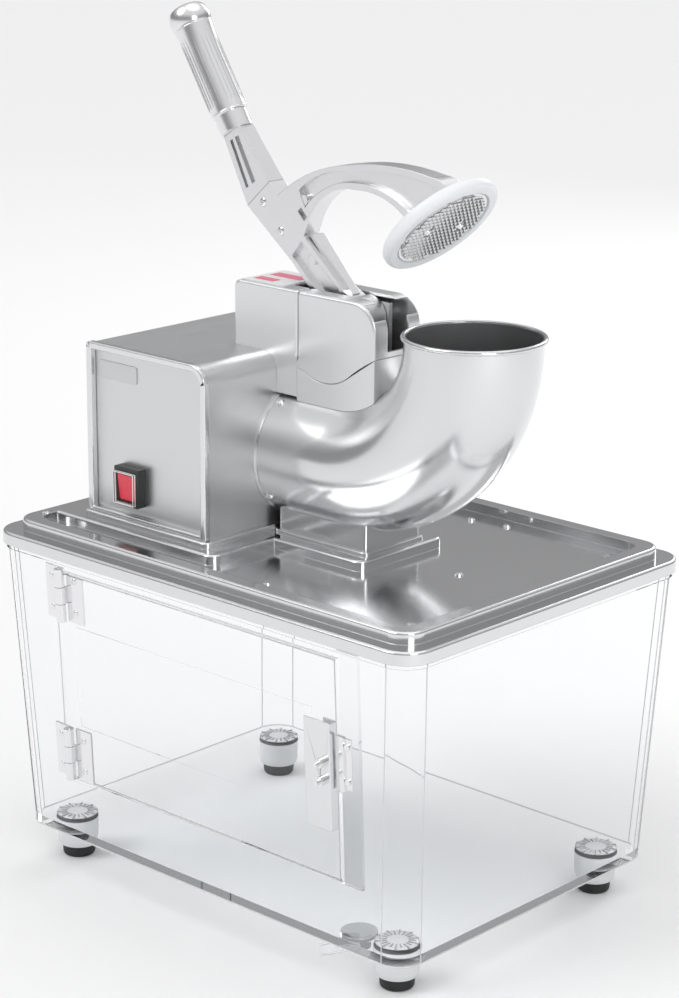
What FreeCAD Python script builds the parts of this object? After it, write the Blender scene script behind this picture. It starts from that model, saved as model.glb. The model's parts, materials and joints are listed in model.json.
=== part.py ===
import os

import FreeCAD, Part
import Sketcher
from FreeCAD import Placement, Rotation, Vector

# Shaved ice machine: a cast head with a lever press on a steel tray over a
# clear snow bin. Millimetres, +Z up, X along the door side with the hopper
# at +X, the door and switch at -Y, origin on the floor under the tray centre.

document = FreeCAD.newDocument("ShavedIceMachine")
sheet = document.addObject("Spreadsheet::Sheet", "size")

numbers = {
    "trayLength": 440.0,
    "trayWidth": 324.0,
    "trayCorner": 24.0,
    "trayBottom": 266.5,
    "trayLedge": 276.5,
    "trayRim": 285.5,
    "trayStep": 13.0,
    "rimInset": 26.0,
    "recessFloor": 277.5,
    "sheetThick": 1.5,
    "rimOverhang": 4.0,
    "binDraft": 11.5,
    "binBottom": 30.0,
    "binWall": 4.0,
    "binFloor": 6.0,
    "footInsetX": 42.0,
    "footInsetY": 41.0,
    "doorLeft": -149.0,
    "doorRight": 147.0,
    "doorLow": 84.0,
    "doorHigh": 256.0,
    "doorGap": 1.0,
    "hingeX": -139.0,
    "hingeOut": 4.6,
    "knuckleRadius": 4.0,
    "pinRadius": 1.5,
    "houseLeft": -168.0,
    "houseRight": -38.6,
    "houseWidth": 208.0,
    "houseTop": 425.0,
    "panTop": 290.5,
    "houseThick": 1.2,
    "axisHeight": 346.0,
    "tubeRadius": 51.5,
    "tubeThick": 1.2,
    "bendRadius": 112.0,
    "pivotX": 24.6,
    "boltRadius": 5.0,
    "leverThick": 16.5,
    "coverTop": 476.0,
    "coverWidth": 52.0,
    "pusherGap": 2.3,
    "pusherThick": 10.0,
    "gripLength": 106.0,
    "gripRadius": 14.5,
    "shaftRadius": 6.0,
    "fitGap": 0.05,
    "motorRadius": 36.0,
    "motorY": -46.0,
    "motorZ": 340.0,
    "drivenRadius": 26.0,
    "motorPulleyRadius": 14.0,
}


class Size:
    # a number together with the sheet expression it comes from
    def __init__(self, value, text):
        self.value = float(value)
        self.text = text

    def join(self, sign, other, value):
        return Size(value, "(" + self.text + " " + sign + " " + other.text + ")")

    def __add__(self, other):
        other = sized(other)
        return self.join("+", other, self.value + other.value)

    def __radd__(self, other):
        return sized(other) + self

    def __sub__(self, other):
        other = sized(other)
        return self.join("-", other, self.value - other.value)

    def __rsub__(self, other):
        return sized(other) - self

    def __mul__(self, other):
        other = sized(other)
        return self.join("*", other, self.value * other.value)

    def __rmul__(self, other):
        return sized(other) * self

    def __truediv__(self, other):
        other = sized(other)
        return self.join("/", other, self.value / other.value)

    def __rtruediv__(self, other):
        return sized(other) / self

    def __neg__(self):
        return Size(-self.value, "(0 - " + self.text + ")")


def sized(item):
    if isinstance(item, Size):
        return item
    return Size(item, "(" + format(float(item), ".6f") + ")")


def root(item):
    item = sized(item)
    return Size(item.value**0.5, "sqrt(" + item.text + ")")


row = 1
size = {}
for word, number in numbers.items():
    sheet.set("A" + str(row), word)
    sheet.set("B" + str(row), str(number))
    sheet.setAlias("B" + str(row), word)
    size[word] = Size(number, "size." + word)
    row += 1
document.recompute()


def s(word):
    return size[word]


# Where the solids lie: turns from the tool's own +Z to the wanted axis.
turns = {
    "Z": Rotation(),
    "X": Rotation(Vector(0, 1, 0), 90),
    "Y": Rotation(Vector(1, 0, 0), -90),
}


def bind(item, prop, value):
    item.setExpression(prop, sized(value).text)


def place(item, base, turn=None):
    base = [sized(value) for value in base]
    turn = turn or Rotation()
    spot = Vector(base[0].value, base[1].value, base[2].value)
    item.Placement = Placement(spot, turn)
    for axis, value in zip("xyz", base):
        bind(item, "Placement.Base." + axis, value)
    return item


def box(name, x, y, z):
    item = document.addObject("Part::Box", name)
    low = [sized(side[0]) for side in (x, y, z)]
    high = [sized(side[1]) for side in (x, y, z)]
    for prop, start, end in zip(("Length", "Width", "Height"), low, high):
        bind(item, prop, end - start)
    return place(item, low)


def spot(axis, along, at):
    if axis == "X":
        return (along, at[0], at[1])
    if axis == "Y":
        return (at[0], along, at[1])
    return (at[0], at[1], along)


def rod(name, radius, axis, start, end, at):
    item = document.addObject("Part::Cylinder", name)
    bind(item, "Radius", radius)
    bind(item, "Height", sized(end) - start)
    return place(item, spot(axis, start, at), turns[axis])


def fuse(name, items):
    item = document.addObject("Part::MultiFuse", name)
    item.Shapes = items
    return item


def together(name, items):
    item = document.addObject("Part::Compound", name)
    item.Links = items
    return item


def cut(name, base, tools):
    item = document.addObject("Part::Cut", name)
    item.Base = base
    if len(tools) > 1:
        tools = [fuse(name + "Tools", tools)]
    item.Tool = tools[0]
    return item


def tube(name, outer, inner, axis, start, end, at):
    solid = rod(name + "Outer", outer, axis, start, end, at)
    hole = rod(name + "Bore", inner, axis, sized(start) - 1, sized(end) + 1, at)
    return cut(name, solid, [hole])


planes = {"XY": "XY_Plane", "XZ": "XZ_Plane", "YZ": "YZ_Plane"}


def newBody(name):
    return document.addObject("PartDesign::Body", name)


def newSketch(body, name, plane):
    sketch = body.newObject("Sketcher::SketchObject", name)
    for feature in body.Origin.OriginFeatures:
        if feature.Role == planes[plane]:
            sketch.AttachmentSupport = [(feature, "")]
    sketch.MapMode = "FlatFace"
    return sketch


def fix(sketch, geometry, end, point):
    for kind, value in zip(("DistanceX", "DistanceY"), point):
        value = sized(value)
        index = sketch.addConstraint(Sketcher.Constraint(kind, geometry, end, value.value))
        bind(sketch, "Constraints[" + str(index) + "]", value)


def flat(point):
    return Vector(sized(point[0]).value, sized(point[1]).value, 0)


def outline(sketch, points):
    # closed line; a third entry is a point the arc to the next one passes
    count = len(points)
    ends = []
    for index, point in enumerate(points):
        start = flat(point)
        stop = flat(points[(index + 1) % count])
        if len(point) == 3:
            middle = flat(point[2])
            first = middle - start
            second = stop - start
            if first.x * second.y - first.y * second.x > 0:
                arc = Part.Arc(start, middle, stop)
                order = (1, 2)
            else:
                arc = Part.Arc(stop, middle, start)
                order = (2, 1)
            ends.append((sketch.addGeometry(arc, False), order, point[2]))
        else:
            ends.append((sketch.addGeometry(Part.LineSegment(start, stop), False), (1, 2), None))
    for index, (geometry, order, middle) in enumerate(ends):
        after = ends[(index + 1) % count]
        join = Sketcher.Constraint("Coincident", geometry, order[1], after[0], after[1][0])
        sketch.addConstraint(join)
        fix(sketch, geometry, order[0], points[index])
    for geometry, order, middle in ends:
        if middle is not None:
            mark = sketch.addGeometry(Part.Point(flat(middle)), True)
            fix(sketch, mark, 1, middle)
            sketch.addConstraint(Sketcher.Constraint("PointOnObject", mark, 1, geometry))


def padded(body, sketch, length):
    pad = body.newObject("PartDesign::Pad", body.Name + "Pad")
    pad.Profile = sketch
    if hasattr(pad, "SideType"):
        pad.SideType = "Symmetric"
    else:
        pad.Midplane = True
    bind(pad, "Length", length)
    sketch.Visibility = False
    body.Tip = pad
    return pad


def prism(name, plane, points, start, end):
    body = newBody(name)
    sketch = newSketch(body, name + "Sketch", plane)
    outline(sketch, points)
    padded(body, sketch, sized(end) - start)
    middle = (sized(start) + end) / 2
    offset = {"XY": (0, 0, middle), "XZ": (0, middle, 0), "YZ": (middle, 0, 0)}
    return place(body, offset[plane])


def soften(body, radius, chooser):
    document.recompute()
    names = []
    before = body.Tip
    for index, edge in enumerate(before.Shape.Edges):
        if chooser(edge):
            names.append("Edge" + str(index + 1))
    fillet = body.newObject("PartDesign::Fillet", body.Name + "Round" + str(len(body.Group)))
    fillet.Base = (before, names)
    bind(fillet, "Radius", radius)
    body.Tip = fillet
    return body


def upright(edge):
    box_ = edge.BoundBox
    return box_.XLength < 0.001 and box_.YLength < 0.001


def topmost(edge):
    box_ = edge.BoundBox
    return box_.ZLength < 0.001 and box_.ZMin > 0


def slab(name, x, y, z, corner, edge=None):
    # upright plate with rounded corners, the body's own middle at its centre
    x = [sized(value) for value in x]
    y = [sized(value) for value in y]
    z = [sized(value) for value in z]
    body = newBody(name)
    sketch = newSketch(body, name + "Sketch", "XY")
    halfX = (x[1] - x[0]) / 2
    halfY = (y[1] - y[0]) / 2
    outline(sketch, [(-halfX, -halfY), (halfX, -halfY), (halfX, halfY), (-halfX, halfY)])
    padded(body, sketch, z[1] - z[0])
    soften(body, corner, upright)
    if edge:
        soften(body, edge, topmost)
    return place(body, ((x[0] + x[1]) / 2, (y[0] + y[1]) / 2, (z[0] + z[1]) / 2))


def turned(name, points, base, turn=None):
    body = newBody(name)
    sketch = newSketch(body, name + "Sketch", "XZ")
    outline(sketch, points)
    spin = body.newObject("PartDesign::Revolution", name + "Spin")
    spin.Profile = sketch
    spin.ReferenceAxis = (sketch, ["V_Axis"])
    spin.Angle = 360
    sketch.Visibility = False
    body.Tip = spin
    return place(body, base, turn)


def plate(x, y, corner):
    # flat rounded rectangle as a closed line for prisms in any plane
    x = [sized(value) for value in x]
    y = [sized(value) for value in y]
    c = sized(corner)
    k = c * 0.2929
    return [
        (x[0] + c, y[0]),
        (x[1] - c, y[0], (x[1] - k, y[0] + k)),
        (x[1], y[0] + c),
        (x[1], y[1] - c, (x[1] - k, y[1] - k)),
        (x[1] - c, y[1]),
        (x[0] + c, y[1], (x[0] + k, y[1] - k)),
        (x[0], y[1] - c),
        (x[0], y[0] + c, (x[0] + k, y[0] + k)),
    ]


subParts = []


def part(item, name):
    item.Label = name
    subParts.append(item)
    return item


# ---- tray: one pressed sheet, a skirt, a rim and a recess around the head base
halfX = s("trayLength") / 2
halfY = s("trayWidth") / 2
thick = s("sheetThick")
step = s("trayStep")
inset = s("rimInset")
blockRight = -19.0
blockSide = 115.0
plinthRight = 71.0
plinthSide = 48.0


def pressed(name, offset, low, ledge, rim, floor, cutter):
    # the tray's envelope drawn in by the offset
    skirt = slab(
        name + "Skirt",
        (offset - halfX, halfX - offset),
        (offset - halfY, halfY - offset),
        (low, ledge),
        s("trayCorner") - offset,
        cutter,
    )
    raised = slab(
        name + "Raised",
        (step + offset - halfX, halfX - step - offset),
        (step + offset - halfY, halfY - step - offset),
        (ledge - 1, rim),
        s("trayCorner") - 6 - offset,
        cutter,
    )
    recess = slab(
        name + "Recess",
        (inset - halfX - offset, halfX - inset + offset),
        (inset - halfY - offset, halfY - inset + offset),
        (floor, rim + 2),
        13 + offset,
    )
    basin = cut(name + "Basin", raised, [recess])
    block = slab(
        name + "Block",
        (offset - halfX + step + 6, sized(blockRight) - offset),
        (sized(-blockSide) + offset, sized(blockSide) - offset),
        (floor - 1, rim),
        sized(9) - offset,
        cutter,
    )
    plinth = slab(
        name + "Plinth",
        (sized(-60), sized(plinthRight) - offset),
        (sized(-plinthSide) + offset, sized(plinthSide) - offset),
        (floor - 1, rim),
        sized(9) - offset,
        cutter,
    )
    return fuse(name, [skirt, basin, block, plinth])


noOffset = sized(0)
outerTray = pressed(
    "TrayOuter", noOffset, s("trayBottom"), s("trayLedge"), s("trayRim"), s("recessFloor"), 2.2
)
innerTray = pressed(
    "TrayInner",
    thick,
    s("trayBottom") - 5,
    s("trayLedge") - thick,
    s("trayRim") - thick,
    s("recessFloor") - thick,
    None,
)
snowHole = box("TraySnowHole", (-20, 18), (-27, 27), (s("trayBottom"), s("trayRim") + 3))
part(cut("Tray", outerTray, [innerTray, snowHole]), "tray")

traySpots = [(178, -112), (178, 112), (126, 0), (72, -122), (72, 122), (40, -116), (40, 116)]
traySpots = traySpots + [(-196, -125.5), (-196, 125.5)]


def facet(name, radius, x, y, low, high):
    # a many-sided disc, round enough for a small head
    item = document.addObject("Part::Prism", name)
    item.Polygon = 16
    bind(item, "Circumradius", radius)
    bind(item, "Height", sized(high) - low)
    return place(item, (x, y, low))


screws = []
for index, (x, y) in enumerate(traySpots):
    mark = str(index)
    top = s("trayRim") if x < -190 else s("recessFloor")
    base = facet("TrayScrewBase" + mark, 3.4, x, y, top, top + 1.1)
    crown = facet("TrayScrewCrown" + mark, 2.4, x, y, top + 0.5, top + 1.8)
    screws.append(fuse("TrayScrew" + mark, [base, crown]))
part(together("TrayScrews", screws), "tray_screws")

# ---- clear bin with an inset door, feet and a drain
binHalfX = s("trayLength") / 2 - s("rimOverhang")
binHalfY = s("trayWidth") / 2 - s("rimOverhang")
draft = s("binDraft")
drop = s("trayBottom") - s("binBottom")
slope = draft / drop
lean = root(slope * slope + 1)
leanCos = 1 / lean
leanSin = slope / lean
leanAngle = Size(
    57.2957795 * (slope.value - slope.value ** 3 / 3),
    "(57.2957795 * (" + slope.text + " - " + slope.text + " ^ 3 / 3))",
)
binTop = s("trayLedge") - thick - 4


def section(name, halfLength, halfWidth, height, corner):
    sketch = document.addObject("Sketcher::SketchObject", name)
    outline(sketch, plate((-halfLength, halfLength), (-halfWidth, halfWidth), corner))
    place(sketch, (0, 0, height))
    return sketch


def tapered(name, inward, low, high, corner):
    sketches = []
    for mark, height in (("Low", low), ("High", high)):
        shift = (height - s("trayBottom")) * slope
        sketches.append(
            section(
                name + mark,
                binHalfX + shift - inward,
                binHalfY + shift - inward,
                height,
                corner,
            )
        )
    loft = document.addObject("Part::Loft", name)
    loft.Sections = sketches
    loft.Solid = True
    loft.Ruled = True
    return loft


def leaning(y, z):
    # a spot given along the door wall, from the wall's outer face and the floor
    wallFoot = (s("trayBottom") * slope) - binHalfY
    return (wallFoot + y * leanCos - z * leanSin, y * leanSin + z * leanCos)


def onWall(item, x, y, z):
    base = leaning(sized(y), sized(z))
    place(item, (x, base[0], base[1]), Rotation(Vector(1, 0, 0), leanAngle.value))
    item.setExpression("Placement.Rotation.Angle", leanAngle.text)
    return item


binOuter = tapered("BinOuter", sized(0), s("binBottom"), binTop, 20)
binInner = tapered(
    "BinInner", s("binWall"), s("binBottom") + s("binFloor"), binTop + 2, 16.5
)
lip = slab(
    "BinLip",
    (-1.5 - binHalfX, binHalfX + 1.5),
    (-1.5 - binHalfY, binHalfY + 1.5),
    (s("trayBottom") - 3.8, s("trayBottom") - 0.3),
    21.5,
)
binShell = cut("BinShell", fuse("BinWhole", [binOuter, lip]), [binInner])
opening = document.addObject("Part::Box", "DoorOpening")
bind(opening, "Length", s("doorRight") - s("doorLeft") + s("doorGap") * 2)
bind(opening, "Width", s("binWall") + 6)
bind(opening, "Height", s("doorHigh") - s("doorLow") + s("doorGap") * 2)
onWall(opening, s("doorLeft") - s("doorGap"), -3, s("doorLow") - s("doorGap"))
part(cut("Bin", binShell, [opening]), "bin_body")

footX = binHalfX - s("footInsetX")
footY = binHalfY - s("footInsetY")
cups = []
rubbers = []
for index, (signX, signY) in enumerate([(-1, -1), (1, -1), (1, 1), (-1, 1)]):
    x = footX * signX
    y = footY * signY
    mark = str(index)
    cup = [
        turned(
            "CupWall" + mark,
            [(13.6, 0), (15.6, 0), (16.6, 3.5), (17, 20), (0, 20), (0, 13), (13.6, 13)],
            (x, y, s("binBottom") - 20),
        )
    ]
    for turn in range(12):
        rib = box("CupRib" + mark + "x" + str(turn), (14.5, 17.9), (-0.9, 0.9), (3, 19.5))
        place(rib, (x, y, s("binBottom") - 17), Rotation(Vector(0, 0, 1), 30 * turn))
        bind(rib, "Height", 16.5)
        rib.Placement = Placement(rib.Placement.Base, Rotation(Vector(0, 0, 1), 30 * turn))
        cup.append(rib)
    ring = []
    cups.append(cup)
    rubbers.append(
        turned(
            "Rubber" + mark,
            [(0, 0), (10.5, 0, (12.3, 0.8)), (13, 2.6), (13.5, 11), (13.5, 23), (0, 23)],
            (x, y, 0),
        )
    )
walls = []
for index, cup in enumerate(cups):
    hub = cup[0]
    core = rod(
        "CupCore" + str(index),
        13.6,
        "Z",
        s("binBottom") - 21,
        s("binBottom") - 7,
        (
            footX * [-1, 1, 1, -1][index],
            footY * [-1, -1, 1, 1][index],
        ),
    )
    walls.append(cut("Cup" + str(index), fuse("CupFull" + str(index), cup), [core]))
part(together("FootCups", walls), "foot_cups")
part(together("RubberFeet", rubbers), "rubber_feet")

drainX = 138.0
drainY = -118.0
drainBody = rod("DrainBody", 9, "Z", s("binBottom") - 12, s("binBottom"), (drainX, drainY))
drainFlange = rod("DrainFlange", 14, "Z", s("binBottom") - 3, s("binBottom"), (drainX, drainY))
nozzle = rod("DrainNozzle", 4.5, "Z", 0, 30, (0, 0))
place(nozzle, (drainX, drainY, s("binBottom") - 8), Rotation(Vector(1.0, -1.0, 0), 100))
bore = rod("DrainBore", 3, "Z", 0, 31, (0, 0))
place(bore, (drainX, drainY, s("binBottom") - 8), Rotation(Vector(1.0, -1.0, 0), 100))
part(
    cut("DrainSpout", fuse("DrainWhole", [drainBody, drainFlange, nozzle]), [bore]),
    "drain_spout",
)

# lid gasket between the bin's top edge and the tray
shift = (binTop - s("trayBottom")) * slope
gasketOut = slab(
    "GasketOuter",
    (-binHalfX - shift, binHalfX + shift),
    (-binHalfY - shift, binHalfY + shift),
    (binTop, binTop + 4),
    20,
)
gasketIn = slab(
    "GasketInner",
    (s("binWall") - binHalfX - shift, binHalfX + shift - s("binWall")),
    (s("binWall") - binHalfY - shift, binHalfY + shift - s("binWall")),
    (binTop - 1, binTop + 5),
    16.5,
)
part(cut("LidGasket", gasketOut, [gasketIn]), "lid_gasket")

# ---- door in the wall's own frame, then leaned with it
doorL = s("doorLeft")
doorR = s("doorRight")
doorB = s("doorLow")
doorT = s("doorHigh")
wall = s("binWall")

def wallBox(name, x, y, z):
    # a block given in the wall's frame
    item = document.addObject("Part::Box", name)
    bind(item, "Length", sized(x[1]) - x[0])
    bind(item, "Width", sized(y[1]) - y[0])
    bind(item, "Height", sized(z[1]) - z[0])
    return onWall(item, x[0], y[0], z[0])


def wallRod(name, radius, start, end, x, y):
    item = document.addObject("Part::Cylinder", name)
    bind(item, "Radius", radius)
    bind(item, "Height", sized(end) - start)
    return onWall(item, x, y, start)


def boltRod(name, radius, start, end, x, z):
    # a cylinder across the wall
    item = document.addObject("Part::Cylinder", name)
    bind(item, "Radius", radius)
    bind(item, "Height", sized(end) - start)
    base = leaning(sized(start), sized(z))
    turn = Rotation(Vector(1, 0, 0), leanAngle.value - 90)
    place(item, (x, base[0], base[1]), turn)
    item.Placement = Placement(item.Placement.Base, turn)
    item.setExpression("Placement.Rotation.Angle", leanAngle.text + " - 90")
    return item


panel = wallBox("DoorSheet", (doorL, doorR), (0, wall), (doorB, doorT))
window = wallBox(
    "DoorWindow", (doorL + 20, doorR - 24), (-1, 0.7), (doorB + 47, doorT - 42)
)
boltX = doorR - 7
boltZ = [165.0, 179.0]
holes = []
for index, z in enumerate(boltZ):
    holes.append(boltRod("DoorHole" + str(index), 2.05, -1, 6, boltX, z))
part(cut("DoorPanel", panel, [window] + holes), "door_panel")

handleFace = wallBox("HandleFace", (doorR - 25, doorR), (-8, -6.5), (126, 210))
handleSide = wallBox("HandleSide", (doorR - 1.5, doorR), (-8, 0), (126, 210))
handleFoot = wallBox("HandleFoot", (doorR - 12, doorR), (-1.5, 0), (126, 210))
handleHoles = []
for index, z in enumerate(boltZ):
    handleHoles.append(boltRod("HandleHole" + str(index), 2.05, -9, 1, boltX, z))
handleWhole = fuse("HandleWhole", [handleFace, handleSide, handleFoot])
part(cut("HandlePlate", handleWhole, handleHoles), "handle_plate")

bolts = []
for index, z in enumerate(boltZ):
    mark = str(index)
    shank = boltRod("BoltShank" + mark, 2, -16.5, wall + 0.2, boltX, z)
    head = boltRod("BoltHead" + mark, 3.6, wall, wall + 2.4, boltX, z)
    nut = boltRod("BoltNut" + mark, 3.5, -12.5, -8, boltX, z)
    bolts.append(fuse("Bolt" + mark, [shank, head, nut]))
part(together("DoorBolts", bolts), "door_bolts")

hingeZ = [(85.0, 128.0), (218.0, 261.0)]
pinX = s("hingeX")
pinY = -s("hingeOut")
fixedParts = []
movingParts = []
pins = []
for index, (low, high) in enumerate(hingeZ):
    mark = str(index)
    third = (high - low) / 3
    leaf = [
        wallBox("FixedLeaf" + mark, (-158, doorL - 1.5), (-1.5, 0), (low, high)),
        wallBox("FixedBridge" + mark, (doorL - 2.5, pinX - 4.6), (-1.9, -0.6), (low, high)),
    ]
    for which, (start, end) in enumerate(((low, low + third), (high - third, high))):
        both = mark + "x" + str(which)
        leaf.append(wallRod("FixedKnuckle" + both, s("knuckleRadius"), start, end, pinX, pinY))
        leaf.append(wallBox("FixedJoin" + both, (pinX - 5, pinX), (-1.9, -0.6), (start, end)))
    bore = wallRod("FixedBore" + mark, s("pinRadius") + 0.05, low - 1, high + 1, pinX, pinY)
    fixedParts.append(cut("FixedHinge" + mark, fuse("FixedWhole" + mark, leaf), [bore]))
    top = min(high, 255.5)
    middle = (low + third + 0.4, high - third - 0.4)
    leaf = [
        wallBox("MovingLeaf" + mark, (pinX + 4.6, pinX + 22), (-1.5, 0), (low, top)),
        wallBox("MovingJoin" + mark, (pinX + 0.5, pinX + 6), (-1.5, -0.1), middle),
        wallRod("MovingKnuckle" + mark, s("knuckleRadius"), middle[0], middle[1], pinX, pinY),
    ]
    bore = wallRod("MovingBore" + mark, s("pinRadius") + 0.05, low - 1, high + 1, pinX, pinY)
    movingParts.append(cut("MovingHinge" + mark, fuse("MovingWhole" + mark, leaf), [bore]))
    pins.append(wallRod("HingePin" + mark, s("pinRadius"), low - 0.6, high + 0.6, pinX, pinY))
part(together("FixedLeaves", fixedParts), "fixed_hinge_leaves")
part(together("MovingLeaves", movingParts), "moving_hinge_leaves")
part(together("HingePins", pins), "hinge_pins")

catchLeft = doorR + s("doorGap") + 0.6
catchPlate = wallBox("CatchPlate", (catchLeft, catchLeft + 7), (-3, 0), (158, 200))
catchTab = wallBox("CatchTab", (catchLeft + 7, catchLeft + 13), (-1.5, 0), (160, 199))
part(fuse("CatchStrip", [catchPlate, catchTab]), "catch_strip")
catchScrews = []
for index, z in enumerate((166.0, 193.0)):
    catchScrews.append(boltRod("CatchScrew" + str(index), 2.3, -3, -1.5, catchLeft + 10.2, z))
part(together("CatchScrews", catchScrews), "catch_screws")
part(
    wallBox("DoorStop", (doorR - 2, doorR + 18), (wall + 0.4, wall + 3.4), (doorB - 3, 262)),
    "door_stop_strip",
)

# ---- chute between the tray and the tube
axisZ = s("axisHeight")
radius = s("tubeRadius")
bend = s("bendRadius")
pivotX = s("pivotX")
pivotZ = axisZ + bend
houseR = s("houseRight")
half = root(0.5)


def elbowSolid(name, outer, past, early=0):
    # a round bar along the tube's own centre line: run, quarter bend, mouth
    path = document.addObject("Sketcher::SketchObject", name + "Path")
    start = (houseR - early, axisZ)
    first = (pivotX, axisZ)
    middle = (pivotX + bend * half, pivotZ - bend * half)
    second = (pivotX + bend, pivotZ)
    stop = (pivotX + bend, pivotZ + past)
    path.addGeometry(Part.LineSegment(flat(start), flat(first)), False)
    path.addGeometry(Part.Arc(flat(first), flat(middle), flat(second)), False)
    path.addGeometry(Part.LineSegment(flat(second), flat(stop)), False)
    path.addGeometry(Part.Point(flat(middle)), True)
    path.addConstraint(Sketcher.Constraint("Coincident", 0, 2, 1, 1))
    path.addConstraint(Sketcher.Constraint("Coincident", 1, 2, 2, 1))
    path.addConstraint(Sketcher.Constraint("PointOnObject", 3, 1, 1))
    fix(path, 0, 1, start)
    fix(path, 0, 2, first)
    fix(path, 2, 1, second)
    fix(path, 2, 2, stop)
    fix(path, 3, 1, middle)
    place(path, (0, 0, 0), Rotation(Vector(1, 0, 0), 90))
    ring = document.addObject("Sketcher::SketchObject", name + "Ring")
    ring.addGeometry(Part.Circle(Vector(0, 0, 0), Vector(0, 0, 1), sized(outer).value), False)
    ring.addConstraint(Sketcher.Constraint("Coincident", 0, 3, -1, 1))
    index = ring.addConstraint(Sketcher.Constraint("Radius", 0, sized(outer).value))
    bind(ring, "Constraints[" + str(index) + "]", outer)
    place(ring, (houseR - early, 0, axisZ), turns["X"])
    sweep = document.addObject("Part::Sweep", name)
    sweep.Sections = [ring]
    sweep.Spine = (path, ["Edge1", "Edge2", "Edge3"])
    sweep.Solid = True
    sweep.Frenet = False
    return sweep


plinthTop = s("trayRim")
chuteOuter = slab("ChuteOuter", (-31, 60), (-31, 31), (plinthTop, axisZ - 34), 3)
chuteInner = slab("ChuteInner", (-29.5, 58.5), (-29.5, 29.5), (plinthTop - 1, axisZ - 33), 1.5)
chuteFoot = slab("ChuteFoot", (-34, 63), (-34, 34), (plinthTop, plinthTop + 2.2), 5, 1)
chuteWhole = fuse("ChuteWhole", [chuteOuter, chuteFoot])
part(
    cut("Chute", chuteWhole, [chuteInner, elbowSolid("ChuteSaddle", radius + 0.02, 2)]),
    "chute",
)

# ---- elbow hopper: straight run, quarter bend and a rolled mouth
mouth = 2.5
elbowOuter = elbowSolid("ElbowOuter", radius, mouth)
rootFlange = rod("ElbowRoot", radius + 1.3, "X", houseR, houseR + 3, (0, axisZ))
lipProfile = [
    (radius - 1, 0.3),
    (radius + 0.9, 0.3, (radius + 2.05, 0.8)),
    (radius + 2.5, 2.0, (radius + 2.0, 3.4)),
    (radius + 0.6, 4.0, (radius - 0.2, 3.85)),
    (radius - 1, 3.4),
]
lipRoll = turned("ElbowLip", lipProfile, (pivotX + bend, 0, pivotZ))
elbowInner = elbowSolid("ElbowInner", radius - s("tubeThick"), mouth + 6, 2)
elbowDrop = box("ElbowDrop", (-20, 18), (-27, 27), (plinthTop, axisZ - 36))
elbowHoles = []
screwList = []
screwX = houseR + 8.6
for index, angle in enumerate((54, 126, 216, 324)):
    hole = rod("ElbowHole" + str(index), 1.65, "Z", 0, radius + 8, (0, 0))
    turn = Rotation(Vector(1, 0, 0), angle - 90)
    place(hole, (screwX, 0, axisZ), turn)
    elbowHoles.append(hole)
    screwProfile = [
        (0, radius - 5),
        (1.6, radius - 5),
        (1.6, radius),
        (3.3, radius),
        (3.3, radius + 0.5, (2.4, radius + 1.6)),
        (0.6, radius + 2.1),
        (0, radius + 2.1),
    ]
    screwList.append(turned("FlangeScrew" + str(index), screwProfile, (screwX, 0, axisZ), turn))
elbowWhole = fuse("ElbowWhole", [elbowOuter, rootFlange, lipRoll])
part(
    cut("ElbowHopper", elbowWhole, [elbowInner, elbowDrop] + elbowHoles),
    "elbow_hopper",
)
part(together("FlangeScrews", screwList), "flange_screws")

# ---- bearing housing inside the tube's root, bearings, seal
spigotOut = radius - s("tubeThick") - 0.05
plateDisc = rod("HubPlate", spigotOut, "X", houseR + 1.2, houseR + 5.2, (0, axisZ))
spigot = tube("HubSpigot", spigotOut, spigotOut - 4, "X", houseR + 1.2, houseR + 14, (0, axisZ))
hub = rod("HubBarrel", 19, "X", houseR - 7, houseR + 41.6, (0, axisZ))
hubBore = rod("HubBore", 14, "X", houseR - 8, houseR + 43, (0, axisZ))
hubHoles = []
for index, angle in enumerate((54, 126, 216, 324)):
    hole = rod("HubHole" + str(index), 1.62, "Z", radius - 8, radius + 2, (0, 0))
    along = Rotation(Vector(1, 0, 0), angle - 90)
    hole.Placement = Placement(Vector(0, 0, 0), along)
    hole = rod("HubHoleLong" + str(index), 1.65, "Z", 0, radius + 2, (0, 0))
    place(hole, (screwX, 0, axisZ), along)
    hubHoles.append(hole)
ringPart = cut("HubRing", spigot, hubHoles)
part(
    cut("BearingHousing", fuse("HubWhole", [plateDisc, ringPart, hub]), [hubBore]),
    "bearing_housing",
)
bearingBore = s("shaftRadius") + s("fitGap")
bearings = [
    tube("BearingRear", 14, bearingBore, "X", houseR - 6.4, houseR + 1.6, (0, axisZ)),
    tube("BearingFront", 14, bearingBore, "X", houseR + 30.6, houseR + 38.6, (0, axisZ)),
]
part(together("Bearings", bearings), "bearings")
part(
    tube("ShaftSeal", 14, bearingBore, "X", houseR + 39.2, houseR + 41.6, (0, axisZ)),
    "shaft_seal",
)

# ---- blade rotor
discRadius = radius - s("tubeThick") - 1.3
discStart = houseR + 58.6
discEnd = discStart + 4
hubDisc = rod("DiscHub", 12, "X", houseR + 42.6, discEnd, (0, axisZ))
discPlate = rod("DiscPlate", discRadius, "X", discStart, discEnd, (0, axisZ))
slots = []
blades = []
for turn in range(3):
    slotBox = box("BladeSlot" + str(turn), (0, 8), (-4, 4), (16, 44))
    along = Rotation(Vector(1, 0, 0), 120 * turn)
    slotBox.Placement = Placement(Vector(0, 0, 0), along)
    base = along.multVec(Vector(0, -4, 16))
    place(slotBox, (discStart - 2, base.y, axisZ + base.z), along)
    slots.append(slotBox)
    blade = box("Blade" + str(turn), (0, 6), (-3.2, -1.4), (16.4, 43.6))
    base = along.multVec(Vector(0, -4, 16.2))
    place(blade, (discStart, base.y, axisZ + base.z), along)
    blades.append(blade)
shaftHole = rod("DiscBore", s("shaftRadius"), "X", houseR + 40, discEnd - 1, (0, axisZ))
part(cut("BladeDisc", fuse("DiscWhole", [hubDisc, discPlate]), slots + [shaftHole]), "blade_disc")
part(together("Blades", blades), "blades")
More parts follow.
